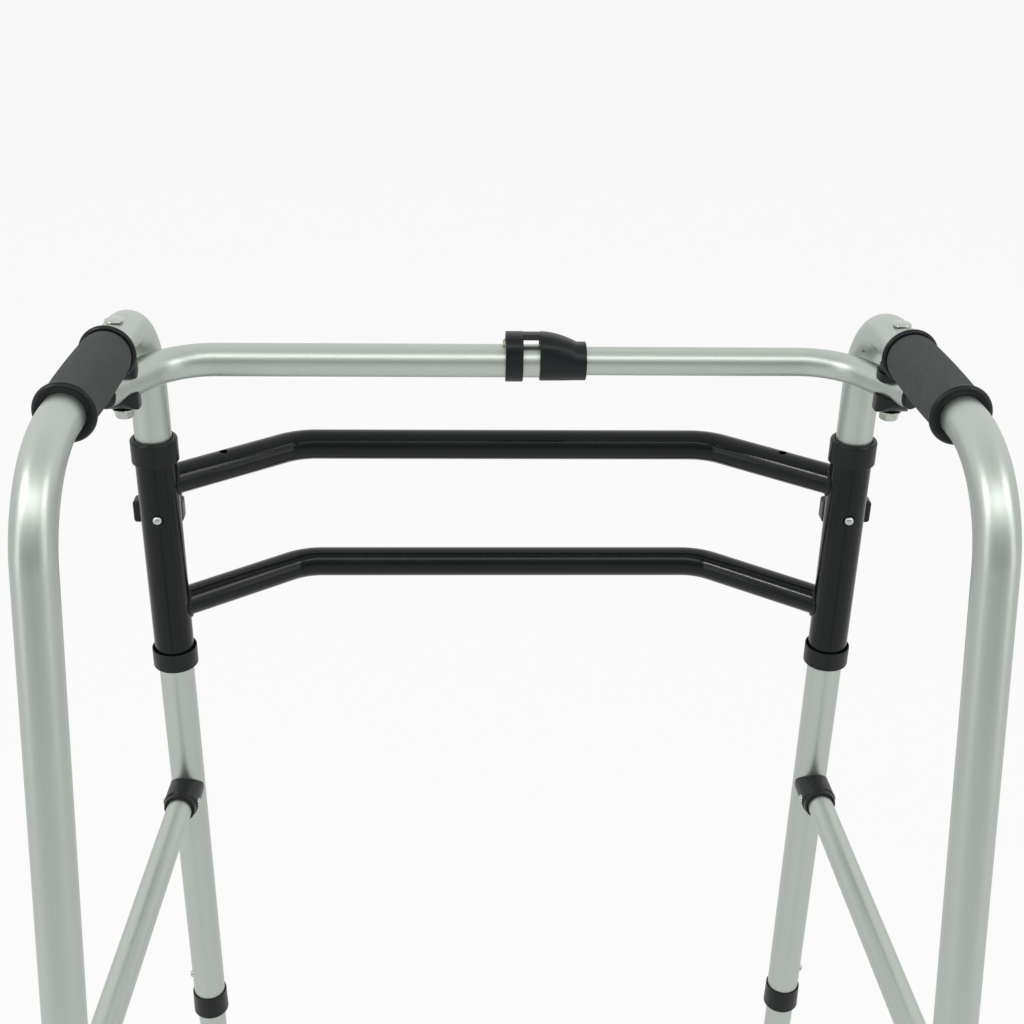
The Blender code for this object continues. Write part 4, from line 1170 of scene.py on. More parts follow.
def stop_slots(size, sign):
    """Cutters for the two slots that let a leg turn about its stop pin."""
    back = {LEFT: TURNS_IN[LEFT], RIGHT: TURNS_OUT}[sign]
    ahead = {LEFT: TURNS_OUT, RIGHT: TURNS_IN[RIGHT]}[sign]
    place = Matrix.Translation(axis_point(size, sign, STOP_DROP))
    slots = []
    for rest in (90.0, 270.0):
        outline = sector(*SLOT_RADII, rest - back - SLOT_HALF_ANGLE,
                         rest + ahead + SLOT_HALF_ANGLE)
        slots.append(prism("slot", outline, -SLOT_HALF_HEIGHT, SLOT_HALF_HEIGHT, place))
    return slots


def button_hole(size, sign, end, level):
    """A cutter for a button hole at a level, in the outer wall of a leg or of its slide."""
    place = leg_frame(size, sign, end)
    height = along_leg(size, end, level)
    near, far = (place @ Vector((out, 0.0, height)) for out in DRILL_SPAN)
    return rod(near, far, BUTTON_HOLE)


def button_holes(size, sign, end):
    """Cutters for the row of button holes of a leg."""
    return [button_hole(size, sign, end, BUTTON_HEIGHT + index * HOLE_PITCH)
            for index in range(HOLE_COUNT)]


def vent_hole(size, sign):
    """A cutter for the small hole on the inner side of a front bend."""
    along, around = (math.radians(angle) for angle in VENT_PLACES[sign])
    bend = size.front_bend
    low = handle_height(size) - bend
    centre = side_point(sign, bend - bend * math.cos(along), low + bend * math.sin(along))
    rise = Vector((0.0, 0.0, math.sin(along))) - backwards(sign) * math.cos(along)
    away = rise * math.cos(around) + outwards(sign) * math.sin(around)
    near, far = (centre + away * out for out in DRILL_SPAN)
    return rod(near, far, VENT_RADIUS, sides=16)


def make_side_tube(size, sign, side):
    """A side frame's bent tube with its holes and slots."""
    path = side_path(size, sign, BEND_STEP)
    thing = tube(side + "_bent_tube", path, size.leg_radius, size.leg_wall, "anodised_tube")
    top = handle_height(size)
    bolt_hole = rod(side_point(sign, PIVOT_BACK, top - 0.020),
                    side_point(sign, PIVOT_BACK, top + 0.020), BOLT_HOLE)
    cut(thing, bolt_hole, vent_hole(size, sign), *stop_slots(size, sign))
    cut(thing, *button_holes(size, sign, "front"), *button_holes(size, sign, "rear"))
    skinned(thing, side_path(size, sign, FINE_BEND_STEP))
    return place_piece(thing, side + "_side", "anodised_tube", side + "_side_tube")


def rivet_pattern(size):
    """A domed rivet head, standing up on the origin."""
    radius = size.rivet_radius
    profile = (
        (0.0, 0.0013), (radius * 0.30, 0.00125), (radius * 0.58, 0.00105),
        (radius * 0.82, 0.00065), (radius * 0.97, 0.00010), (radius, -0.0004),
        (radius * 0.5, -0.0010), (0.0, -0.0010),
    )
    return turned("rivet", profile, Matrix.Identity(4), closed=False, steps=24)


def leg_cope(size, sign, end, height):
    """A cutter that hollows a brace's end to fit round a leg."""
    low, high = (side_point(sign, leg_back(size, end, level), level)
                 for level in (height - COPE_REACH, height + COPE_REACH))
    return rod(low, high, LEG_COPE, sides=TURN_STEPS)


def make_brace(size, sign, side):
    """The side brace, its two saddles and their rivets."""
    height = size.brace_height
    rear = leg_back(size, "rear", height)
    path = [side_point(sign, back, height) for back in (BRACE_INSET, rear - BRACE_INSET)]
    brace = tube(side + "_brace_tube", path, size.brace_radius, size.brace_wall, "anodised_tube",
                 sides=56)
    bore = size.brace_radius + BRACE_SADDLE_GAP
    low, high = BRACE_SADDLE_SPAN
    profile = (
        (BRACE_SADDLE_RADIUS, low), (bore, low), (bore, high),
        (BRACE_SADDLE_RADIUS - 0.0012, high), (BRACE_SADDLE_RADIUS - 0.0009, high - 0.0040),
        (BRACE_SADDLE_RADIUS, high - 0.0052),
    )
    rivet_places = []
    for end, back, inwards in (("front", 0.0, 1.0), ("rear", rear, -1.0)):
        middle = side_point(sign, back, height)
        place = frame_at(middle, inwards * backwards(sign), (0.0, 0.0, 1.0))
        saddle = turned("_".join((side, end, "brace_cup")), profile, place, soft=0.0008)
        cut(saddle, leg_cope(size, sign, end, height))
        smoothed(saddle)
        place_piece(saddle, side + "_side", "black_plastic",
                    "_".join((side, end, "brace_saddle")))
        for out in (1.0, -1.0):
            spot = middle + inwards * backwards(sign) * RIVET_PLACE
            spot = spot + outwards(sign) * (out * BRACE_SADDLE_RADIUS)
            rivet_places.append(frame_at(spot, outwards(sign) * out, (0.0, 0.0, 1.0)))
    cut(brace, *[leg_cope(size, sign, end, height) for end in ENDS])
    skinned(brace, path)
    place_piece(brace, side + "_side", "anodised_tube", side + "_side_brace")
    rivets = smoothed(copies(side + "_brace_rivets", rivet_pattern(size), rivet_places,
                             "zinc_steel"))
    place_piece(rivets, side + "_side", "zinc_steel")


# Telescopic legs

def make_bushing(size, sign, side, end):
    """The plastic bush in a leg's mouth."""
    mouth = along_leg(size, end, size.leg_end)
    slide = size.slide_radius + 0.0004
    around = size.leg_radius + 0.0004
    top = mouth + BUSH_LENGTH - BUSH_LIP
    profile = (
        (BUSH_RADIUS - 0.0004, top), (BUSH_RADIUS, mouth - BUSH_LIP + 0.0010),
        (BUSH_RADIUS - 0.0008, mouth - BUSH_LIP), (slide, mouth - BUSH_LIP),
        (slide, mouth - GAP), (around, mouth - GAP), (around, top),
    )
    stem = "_".join((side, end))
    bush = smoothed(turned(stem + "_mouth_bush", profile, leg_frame(size, sign, end),
                           soft=0.0006))
    return place_piece(bush, side + "_side", "black_plastic", stem + "_leg_bushing")


def make_slide(size, sign, side, end):
    """A telescopic leg tube with its button hole."""
    place = leg_frame(size, sign, end)
    low = along_leg(size, end, TIP_FLOOR) + GAP
    high = along_leg(size, end, size.slide_top)
    path = [place @ Vector((0.0, 0.0, height)) for height in (low, high)]
    stem = "_".join((side, end))
    thing = tube(stem + "_slide", path, size.slide_radius, size.slide_wall, "anodised_tube",
                 sides=64)
    cut(thing, button_hole(size, sign, end, BUTTON_HEIGHT))
    skinned(thing, path)
    return place_piece(thing, stem + "_leg", "anodised_tube", stem + "_leg_tube")


def make_button(size, sign, side, end):
    """A domed height button on the near leaf of its spring."""
    height = along_leg(size, end, BUTTON_HEIGHT)
    place = leg_frame(size, sign, end) @ Matrix.Translation((0.0, 0.0, height))
    place = place @ Matrix.Rotation(math.pi / 2, 4, "Y")
    shoulder = BUTTON_REACH - BUTTON_DOME
    crown = [(BUTTON_RADIUS * math.cos(angle), shoulder + BUTTON_DOME * math.sin(angle))
             for angle in np.linspace(math.pi / 2, 0.0, 8)]
    crown[0] = (0.0, BUTTON_REACH)
    foot, low, high = BUTTON_FOOT
    profile = crown + [(BUTTON_RADIUS, high), (foot, high), (foot, low), (0.0, low)]
    stem = "_".join((side, end))
    button = turned(stem + "_snap_button", profile, place, closed=False, soft=0.0002, steps=36)
    leaf = rounded_box("leaf", LEAF_SIZE, place @ Matrix.Translation(LEAF_PLACE), 0.0003, 2)
    join(button, leaf)
    smoothed(button)
    return place_piece(button, stem + "_button", "zinc_steel", stem + "_height_button")


def make_tip(size, sign, side, end):
    """A flared rubber tip with rings round it and grooves in its tread."""
    place = leg_frame(size, sign, end)
    foot = -TIP_TRIM if end == "rear" else 0.0
    floor = along_leg(size, end, TIP_FLOOR)
    top = along_leg(size, end, size.tip_height)
    wide = size.tip_radius
    waist = TIP_TOP_RADIUS + 0.0006
    groove = TIP_TOP_RADIUS - TIP_RING_DEPTH
    profile = [(0.0, floor), (TIP_BORE, floor), (TIP_BORE, top), (TIP_TOP_RADIUS, top)]
    for ring in range(TIP_RINGS):
        height = top - (ring + 1) * TIP_RING_PITCH
        profile += [(TIP_TOP_RADIUS, height), (groove, height - 0.0008),
                    (groove, height - 0.0018), (TIP_TOP_RADIUS, height - 0.0026)]
    profile += [(waist, 0.0220), (waist + 0.0012, 0.0160), (wide - 0.0010, 0.0100),
                (wide, 0.0080), (wide, foot)]
    if end == "front":
        for ring in range(TIP_RINGS):
            edge = wide - 0.0035 - ring * TREAD_PITCH
            profile += [(edge, foot), (edge - 0.0003, foot + TREAD_DEPTH),
                        (edge - 0.0017, foot + TREAD_DEPTH), (edge - 0.0020, foot)]
    profile.append((0.0, foot))
    stem = "_".join((side, end))
    tip = turned(stem + "_ferrule", profile, place, closed=False, soft=0.0005)
    if end == "rear":
        ground = Matrix.Translation((place.translation.x, place.translation.y, -0.020))
        cut(tip, rounded_box("ground", (0.08, 0.08, 0.040), ground, 0.0001, 1))
    smoothed(tip)
    return place_piece(tip, stem + "_leg", "foot_rubber", stem + "_rubber_tip")


# Front frame

def make_sleeve(size, sign, side):
    """The tube that a front leg turns in, drilled for its stop pin."""
    top, low = SLEEVE_DROPS
    path = [axis_point(size, sign, drop) for drop in (low, top)]
    thing = tube(side + "_leg_sleeve", path, size.sleeve_radius,
                 size.sleeve_radius - size.sleeve_bore, "black_paint")
    middle = axis_point(size, sign, STOP_DROP)
    ahead = Vector((0.0, 0.020, 0.0))
    cut(thing, rod(middle - ahead, middle, STOP_TIP_HOLE), rod(middle, middle + ahead, STOP_HOLE))
    skinned(thing, path)
    return place_piece(thing, "frame", "black_paint", side + "_sleeve")


def sleeve_cope(size, sign, drop, radius=SLEEVE_COPE):
    """A cutter that hollows a piece at a drop to fit round a sleeve."""
    return rod(axis_point(size, sign, drop + COPE_REACH), axis_point(size, sign, drop - COPE_REACH),
               radius, sides=TURN_STEPS)


def weld_path(size, sign, drop):
    """The line where a crossbar meets a sleeve."""
    centre = axis_point(size, sign, drop)
    run = Vector((-sign * (AXIS.x - size.crossbar_corner), size.crossbar_forward, 0.0))
    run.normalize()
    across = Vector((-run.y, run.x, 0.0))
    path = []
    for step in range(WELD_STEPS):
        angle = math.tau * step / WELD_STEPS
        aside = size.crossbar_radius * math.cos(angle)
        along = math.sqrt(size.sleeve_radius ** 2 - aside ** 2)
        rise = Vector((0.0, 0.0, size.crossbar_radius * math.sin(angle)))
        path.append(centre + run * along + across * aside + rise)
    return path


def make_weld(size, sign, drop, name):
    """A rippled bead round a crossbar's end."""
    bead = line_thing(name, weld_path(size, sign, drop), closed=True)
    run_tree(bead, weld_tree(), {"Radius": size.weld_radius, "Pitch": size.weld_pitch,
                                 "Material": finish("black_paint")})
    smoothed(bead, 80.0)
    return place_piece(bead, "frame", "black_paint")


def make_crossbar(size, name, drop):
    """A bent crossbar, coped to the sleeves and welded to them."""
    path = crossbar_path(size, drop, BEND_STEP)
    bar = tube(name + "_cross_tube", path, size.crossbar_radius, size.crossbar_wall,
               "black_paint", sides=64)
    cutters = []
    for sign, side in SIDES:
        cutters.append(sleeve_cope(size, sign, drop, SLEEVE_COPE - GAP))
        make_weld(size, sign, drop, "_".join((side, name, "weld")))
        if name == "upper":
            slope = size.crossbar_forward / (AXIS.x - size.crossbar_corner)
            forward = AXIS.y + (AXIS.x - DRAIN_OFFSET) * slope
            spot = Vector((sign * DRAIN_OFFSET, forward, handle_height(size) - drop))
            cutters.append(rod(spot, spot + Vector((0.0, 0.0, 0.020)), DRAIN_RADIUS))
    cut(bar, *cutters)
    skinned(bar, crossbar_path(size, drop, FINE_BEND_STEP))
    return place_piece(bar, "frame", "black_paint", name + "_crossbar")


def make_bottom_collar(size, sign, side):
    """The cup under a sleeve's end, with an open groove round its rim."""
    top, low = BOTTOM_COLLAR_DROPS
    end = SLEEVE_DROPS[1]
    profile = (
        (size.collar_radius, -top), (size.collar_radius, -low), (size.sleeve_bore, -low),
        (size.sleeve_bore, -end - GAP), (SLEEVE_COPE, -end - GAP), (SLEEVE_COPE, -top - 0.0045),
        (CUP_GROOVE, -top - 0.0040), (CUP_GROOVE, -top),
    )
    place = Matrix.Translation(axis_point(size, sign))
    collar = smoothed(turned(side + "_lower_cup", profile, place, soft=0.0007))
    return place_piece(collar, "frame", "black_plastic", side + "_bottom_collar")


def make_top_collar(size, sign, side):
    """The ring that turns on a sleeve's end, with a rounded top rim."""
    top, low = TOP_COLLAR_DROPS
    bore = size.leg_radius + 0.0005
    ledge = -SLEEVE_DROPS[0] + GAP
    rim = arc((size.collar_radius - 0.0021, -top - 0.0022), 0.0021, math.pi / 2, 0.0, 8)
    rim = [(across, height + 0.0001) for across, height in rim]
    profile = [(bore + 0.0006, -top)] + rim + [
        (size.collar_radius, -low), (SLEEVE_COPE, -low), (SLEEVE_COPE, ledge), (bore, ledge),
        (bore, -top - 0.0006),
    ]
    place = Matrix.Translation(axis_point(size, sign))
    collar = smoothed(turned(side + "_bearing_ring", profile, place, soft=0.0005))
    return place_piece(collar, side + "_turn", "black_plastic", side + "_top_collar")


def make_stop_clip(size, sign, side):
    """The block behind a sleeve that carries the stop pin."""
    middle = axis_point(size, sign, STOP_DROP)
    centre = axis_point(size, sign, CLIP_DROP)
    centre = centre + Vector((sign * CLIP_OUT, CLIP_BACK + CLIP_SIZE[1] / 2, 0.0))
    clip = rounded_box(side + "_pin_block", CLIP_SIZE, Matrix.Translation(centre), 0.0024)
    bore = rod(middle, middle + Vector((0.0, 0.040, 0.0)), STOP_HOLE)
    cut(clip, sleeve_cope(size, sign, CLIP_DROP), bore)
    smoothed(clip)
    return place_piece(clip, side + "_stop", "black_plastic", side + "_stop_clip")


def make_stop_pin(size, sign, side):
    """The domed steel pin, with a plain round head at its front end."""
    place = frame_at(axis_point(size, sign, STOP_DROP), (0.0, 1.0, 0.0), (1.0, 0.0, 0.0))
    head_start = CLIP_BACK + CLIP_SIZE[1] + GAP
    dome = [(STOP_RADIUS * math.cos(angle), STOP_TIP + STOP_DOME * (1.0 - math.sin(angle)))
            for angle in np.linspace(0.0, math.pi / 2, 9)]
    dome[-1] = (0.0, STOP_TIP)
    profile = [(0.0, STOP_HEAD), (STOP_HEAD_RADIUS - 0.0010, STOP_HEAD),
               (STOP_HEAD_RADIUS, STOP_HEAD - 0.0007), (STOP_HEAD_RADIUS, head_start),
               (STOP_RADIUS, head_start)] + dome
    pin = turned(side + "_pull_pin", profile, place, closed=False, soft=0.0003, steps=48)
    smoothed(pin)
    return place_piece(pin, side + "_stop", "zinc_steel", side + "_stop_pin")


# Grips

def make_grip(size, sign, side):
    """The plastic grip sleeve with its two flanges, and the foam between them."""
    place = frame_at(side_point(sign, 0.0, handle_height(size)), backwards(sign),
                     (0.0, 0.0, 1.0))
    front_radius, front_width = FRONT_FLANGE
    rear_radius, rear_width = REAR_FLANGE
    front_face = size.grip_start + front_width
    rear_face = size.grip_end - rear_width
    lip = rear_width / 2
    front_lip = front_width / 2
    profile = [(GRIP_BORE, size.grip_end - 0.0006)]
    profile += arc((rear_radius - lip, size.grip_end - lip), lip, math.pi / 2, -math.pi / 2, 14)
    profile += [(GRIP_SLEEVE_RADIUS, rear_face), (GRIP_SLEEVE_RADIUS, front_face)]
    profile += arc((front_radius - front_lip, size.grip_start + front_lip), front_lip,
                   math.pi / 2, -math.pi / 2, 12)
    profile += [(GRIP_BORE, size.grip_start + 0.0006)]
    sleeve = smoothed(turned(side + "_grip_tube", profile, place, soft=0.0003), 60.0)
    place_piece(sleeve, side + "_side", "black_plastic", side + "_grip_sleeve")

    start = front_face + GAP
    end = rear_face - GAP
    bore = GRIP_SLEEVE_RADIUS + GAP
    outline = []
    for share in np.linspace(1.0, 0.0, 25):
        swell = math.sin(math.pi * share) ** 0.4 if 0.0 < share < 1.0 else 0.0
        radius = FOAM_END_RADIUS + (size.foam_radius - FOAM_END_RADIUS) * swell
        outline.append((radius, start + (end - start) * share))
    profile = outline + [(bore, start), (bore, end)]
    foam = smoothed(turned(side + "_soft_grip", profile, place, soft=0.0009), 60.0)
    place_piece(foam, side + "_side", "grip_foam", side + "_grip_foam")


# Top bar

def bar_drill(size, sign):
    """A cutter for a pivot bolt's hole through the bar and the saddles."""
    top = handle_height(size)
    return rod(side_point(sign, PIVOT_BACK, top - 0.060),
               side_point(sign, PIVOT_BACK, top - 0.008), BOLT_HOLE)


def latch_drill():
    """A cutter for the latch pin's hole in the underside of a bar tube."""
    low = (LATCH_PIN_PLACE, BAR_Y, BAR_HEIGHT - 0.020)
    return rod(low, (LATCH_PIN_PLACE, BAR_Y, BAR_HEIGHT), LATCH_PIN_HOLE)


def make_bar_tube(size, sign, side):
    """One tube of the top bar: the outer one on the left, the inner one on the right."""
    if sign == LEFT:
        name, body, node = "outer_bar_tube", "bar_outer", "bar_outer_tube"
        radius, wall, reach = size.bar_outer_radius, size.bar_outer_wall, size.bar_mouth
    else:
        name, body, node = "inner_bar_tube", "bar_inner", "bar_inner_tube"
        radius, wall, reach = size.bar_inner_radius, size.bar_inner_wall, size.bar_inner_end
    thing = tube(name, bar_path(size, sign, reach, BEND_STEP), radius, wall, "anodised_tube",
                 sides=64)
    cut(thing, bar_drill(size, sign), latch_drill())
    skinned(thing, bar_path(size, sign, reach, FINE_BEND_STEP))
    place_piece(thing, body, "anodised_tube", node)

    place = frame_at(bar_end(size, sign, size.bar_overhang), bar_end_direction(size, sign),
                     (0.0, 0.0, 1.0))
    spigot = radius - wall - PLUG_CLEARANCE
    profile = [(0.0, 0.0026), (radius - 0.0024, 0.0025)]
    profile += arc((radius - 0.0013, 0.0012), 0.0013, math.pi / 2, 0.0, 6)
    profile += [(radius, GAP), (spigot, GAP), (spigot, -PLUG_DEPTH), (0.0, -PLUG_DEPTH)]
    plug = smoothed(turned(side + "_tail_plug", profile, place, closed=False, soft=0.0002))
    return place_piece(plug, body, "black_plastic", side + "_bar_plug")


def make_guide():
    """The nylon slug inside the outer tube that the inner tube's end runs on."""
    low, high = (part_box("bar_guide")[corner].x for corner in (0, 1))
    radius = (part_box("bar_guide")[1].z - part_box("bar_guide")[0].z) / 2
    place = frame_at((low, BAR_Y, BAR_HEIGHT), (1.0, 0.0, 0.0), (0.0, 0.0, 1.0))
    reach = high - low
    profile = [(0.0, reach), (radius - 0.001, reach), (radius, reach - 0.001)]
    for groove in (0.7, 0.3):
        middle = reach * groove
        profile += [(radius, middle + 0.0015), (radius - 0.0008, middle + 0.0010),
                    (radius - 0.0008, middle - 0.0010), (radius, middle - 0.0015)]
    profile += [(radius, 0.001), (radius - 0.001, 0.0), (0.0, 0.0)]
    guide = smoothed(turned("nylon_guide", profile, place, closed=False, soft=0.0002))
    return place_piece(guide, "bar_guide_slide", "nylon", "bar_guide")


# Pivots

def rounded_rectangle(length_along, width, corner):
    """The outline of a rectangle with round corners, about the origin."""
    outline = []
    for quarter, (right, up) in enumerate(((1, 1), (-1, 1), (-1, -1), (1, -1))):
        centre = (right * (length_along / 2 - corner), up * (width / 2 - corner))
        start = quarter * math.pi / 2
        outline += arc(centre, corner, start, start + math.pi / 2, OUTLINE_STEPS)
    return outline


def make_saddle(size, sign, name, drops, node):
    """A saddle on the bar at a pivot, hollowed to the bar and drilled for the bolt."""
    top, low = drops
    place = frame_at(side_point(sign, PIVOT_BACK, handle_height(size)), (0.0, 0.0, 1.0),
                     backwards(sign))
    saddle = prism(name, rounded_rectangle(*SADDLE_PLAN, SADDLE_CORNER), -low, -top, place)
    # The side view rounds the lower ends. Its edges lie past the saddle's faces, not in them.
    tall = (low - top + GAP) * 2
    reach = min(SADDLE_ROUND, low - top - GAP)
    view = frame_at(place @ Vector((0.0, 0.0, -top)), outwards(sign), backwards(sign))
    outline = rounded_rectangle(SADDLE_PLAN[0] + SADDLE_CLEAR, tall, reach)
    side_view = prism("side_view", outline, -SIDE_VIEW_REACH, SIDE_VIEW_REACH, view)
    combined(saddle, "INTERSECT", (side_view,))
    edged(saddle, SADDLE_EDGE)
    radius = size.bar_outer_radius if sign == LEFT else size.bar_inner_radius
    path = bar_path(size, sign, sign * BAR_CUTTER_END, BEND_STEP,
                    size.bar_overhang + BAR_CUTTER_EXTRA)
    bar = tube("bar", path, radius + SADDLE_BAR_GAP, None, "black_plastic", sides=64)
    cut(saddle, bar, bar_drill(size, sign))
    smoothed(saddle)
    body = "bar_outer" if sign == LEFT else "bar_inner"
    return place_piece(saddle, body, "black_plastic", node)


def thread(radius, top, low):
    """The profile of a threaded length, from top to low."""
    count = int((top - low) / THREAD_PITCH)
    profile = []
    for turn in range(count):
        height = top - turn * THREAD_PITCH
        profile += [(radius, height), (radius - THREAD_DEPTH, height - THREAD_PITCH / 2)]
    return profile + [(radius - THREAD_DEPTH, low + 0.0002), (radius - 0.0008, low), (0.0, low)]


def make_bolt(size, sign, side):
    """A domed bolt through a handle."""
    under = size.leg_radius + GAP
    dome = [(BOLT_HEAD * math.sin(angle), under + 0.0004 + (BOLT_HEAD_HEIGHT - 0.0004)
             * math.cos(angle)) for angle in np.linspace(0.0, math.pi / 2, 12)]
    dome[0] = (0.0, under + BOLT_HEAD_HEIGHT)
    profile = dome + [(BOLT_HEAD, under), (BOLT_RADIUS, under)]
    if sign == LEFT:
        profile += thread(BOLT_RADIUS, -THREAD_DROP, -BOLT_END_DROP)
        body = "bar_bolt"
    else:
        profile += [(BOLT_RADIUS, -SPACER_DROPS[1]), (0.0, -SPACER_DROPS[1])]
        body = side + "_side"
    place = Matrix.Translation(side_point(sign, PIVOT_BACK, handle_height(size)))
    bolt = smoothed(turned(side + "_handle_bolt", profile, place, closed=False, steps=40), 50.0)
    return place_piece(bolt, body, "zinc_steel", side + "_pivot_bolt")


def above_nut(drop):
    """A height above the nut's top for a drop below the handle's centre."""
    return NUT_TOP_DROP - drop


def make_nut_teeth(centre, body, name):
    """The ring of teeth on a nut's flange."""
    teeth = []
    for index in range(NUT_TEETH):
        angle = math.tau * index / NUT_TEETH
        away = Vector((math.cos(angle), math.sin(angle), 0.0))
        spot = centre + away * (NUT_FLANGE[0] - 0.0012) + Vector((0.0, 0.0, -0.00095))
        teeth.append(frame_at(spot, (0.0, 0.0, 1.0), away))
    pattern = rounded_box("tooth", NUT_TOOTH, Matrix.Identity(4), 0.00012, 2)
    serrations = smoothed(copies(name, pattern, teeth, "zinc_steel"))
    return place_piece(serrations, body, "zinc_steel")


def make_nut(size, sign, side):
    """A hexagon flange nut with a toothed flange. The right one holds its bolt's lower end."""
    centre = side_point(sign, PIVOT_BACK, handle_height(size) - NUT_TOP_DROP)
    place = Matrix.Translation(centre)
    flange_radius, flange_depth = NUT_FLANGE
    hex_radius, hex_depth = NUT_HEX
    seam = flange_depth + 0.0004
    flange_profile = (
        (0.0, 0.0), (flange_radius - 0.0003, 0.0), (flange_radius, -0.0004),
        (flange_radius, -0.0009), (hex_radius, -seam), (0.0, -seam),
    )
    hexagon_profile = (
        (0.0, -0.0004), (hex_radius, -0.0004), (hex_radius, -hex_depth), (0.0, -hex_depth),
    )
    chamfer_profile = (
        (0.0, 0.001), (hex_radius + 0.001, 0.001), (hex_radius + 0.001, 0.0018 - hex_depth),
        (hex_radius * 0.86, -hex_depth), (0.0, -hex_depth),
    )
    nut = turned(side + "_flange_nut", flange_profile, place, closed=False, soft=0.0002)
    hexagon = turned("hexagon", hexagon_profile, place, closed=False, steps=6)
    chamfer = turned("chamfer", chamfer_profile, place, closed=False)
    combined(hexagon, "INTERSECT", (chamfer,))
    join(nut, hexagon)
    if sign == LEFT:
        reach = Vector((0.0, 0.0, 0.01))
        cut(nut, rod(centre + reach, centre - reach, BOLT_HOLE))
        body = "bar_nut"
    else:
        top = above_nut(SADDLE_TOP_DROPS[RIGHT] + GAP)
        shaft_profile = [(0.0, top), (BOLT_RADIUS, top)]
        shaft_profile += thread(BOLT_RADIUS, above_nut(THREAD_DROP), above_nut(BOLT_END_DROP))
        join(nut, turned("shaft", shaft_profile, place, closed=False, steps=40))
        body = "bar_inner"
    smoothed(nut, 35.0)
    place_piece(nut, body, "zinc_steel", side + "_pivot_nut")
    make_nut_teeth(centre, body, side + "_nut_teeth")


def make_spacer(size):
    """The ring between the right handle and its saddle."""
    place = Matrix.Translation(side_point(RIGHT, PIVOT_BACK, handle_height(size)))
    profile = ring_profile(BOLT_HOLE, SPACER_RADIUS, -SPACER_DROPS[1], -SPACER_DROPS[0])
    spacer = smoothed(turned("right_spacer_ring", profile, place, soft=0.0005))
    return place_piece(spacer, "right_side", "black_plastic", "right_pivot_spacer")


# Latch

def roof_section(bottom_radius, roof):
    """A section with a round bottom and a ridged roof, as (across, up) pairs."""
    bottom = arc((0.0, 0.0), bottom_radius, math.pi, math.tau, 8)
    return bottom + list(roof) + [(-across, up) for across, up in reversed(roof)]


def round_section(radius):
    """A round section with its points where a roof section has them."""
    roof = [(radius * math.cos(math.radians(angle)), radius * math.sin(math.radians(angle)))
            for angle in ROOF_ANGLES]
    return roof_section(radius, roof)


def flowing(section):
    """A closed section with smooth curves through its points."""
    count = len(section)
    result = []
    for index in range(count):
        before, start, end, after = (np.array(section[(index + offset) % count])
                                     for offset in (-1, 0, 1, 2))
        bend = 2 * before - 5 * start + 4 * end - after
        twist = 3 * start - before - 3 * end + after
        for step in range(SECTION_STEPS):
            part = step / SECTION_STEPS
            point = 2 * start + (end - before) * part + bend * part ** 2 + twist * part ** 3
            result.append(tuple(0.5 * point))
    return result


def latch_section(ridged, plain, share, inset=0.0):
    """A section part of the way from a ridged to a plain one, drawn in by an inset."""
    result = []
    for first, second in zip(flowing(ridged), flowing(plain)):
        across = first[0] + (second[0] - first[0]) * share
        up = first[1] + (second[1] - first[1]) * share
        reach = math.hypot(across, up)
        result.append((across * (1.0 - inset / reach), up * (1.0 - inset / reach)))
    return result


def latch_stations(start, end, edge):
    """Places along the bar with the inset that rounds both ends of a shell."""
    rounding = [(edge * (1.0 - math.cos(angle)), edge * (1.0 - math.sin(angle)))
                for angle in np.linspace(0.0, math.pi / 2, 6)]
    stations = [(start + reach, inset) for reach, inset in rounding]
    stations += [(place, 0.0) for place in np.linspace(start + edge, end - edge, 26)[1:-1]]
    return stations + [(end - reach, inset) for reach, inset in reversed(rounding)]


def latch_shell(name, start, collar, end, bottom_radius, edge):
    """A part of the latch lofted along the bar, from the ridged section to the round one."""
    outer = (roof_section(bottom_radius, OUTER_ROOF), round_section(COLLAR_END_RADIUS))
    inner = (roof_section(LATCH_BORE, INNER_ROOF), round_section(LATCH_COLLAR_BORE))
    shape = bmesh.new()
    outside = []
    inside = []
    for place, inset in latch_stations(start, end, edge):
        share = 0.0 if collar is None else min(1.0, (place - start) / (collar - start)) ** COWL_FALL
        for loops, walls, drawn_in in ((outside, outer, inset), (inside, inner, -inset * 0.3)):
            section = latch_section(*walls, share, drawn_in)
            loops.append([shape.verts.new((place, BAR_Y + across, BAR_HEIGHT + up))
                          for across, up in section])
    for loops in (outside, inside):
        for near, far in zip(loops, loops[1:]):
            bridge(shape, near, far)
    for end_loop in (0, -1):
        bridge(shape, outside[end_loop], inside[end_loop])
    return from_bmesh(name, shape)


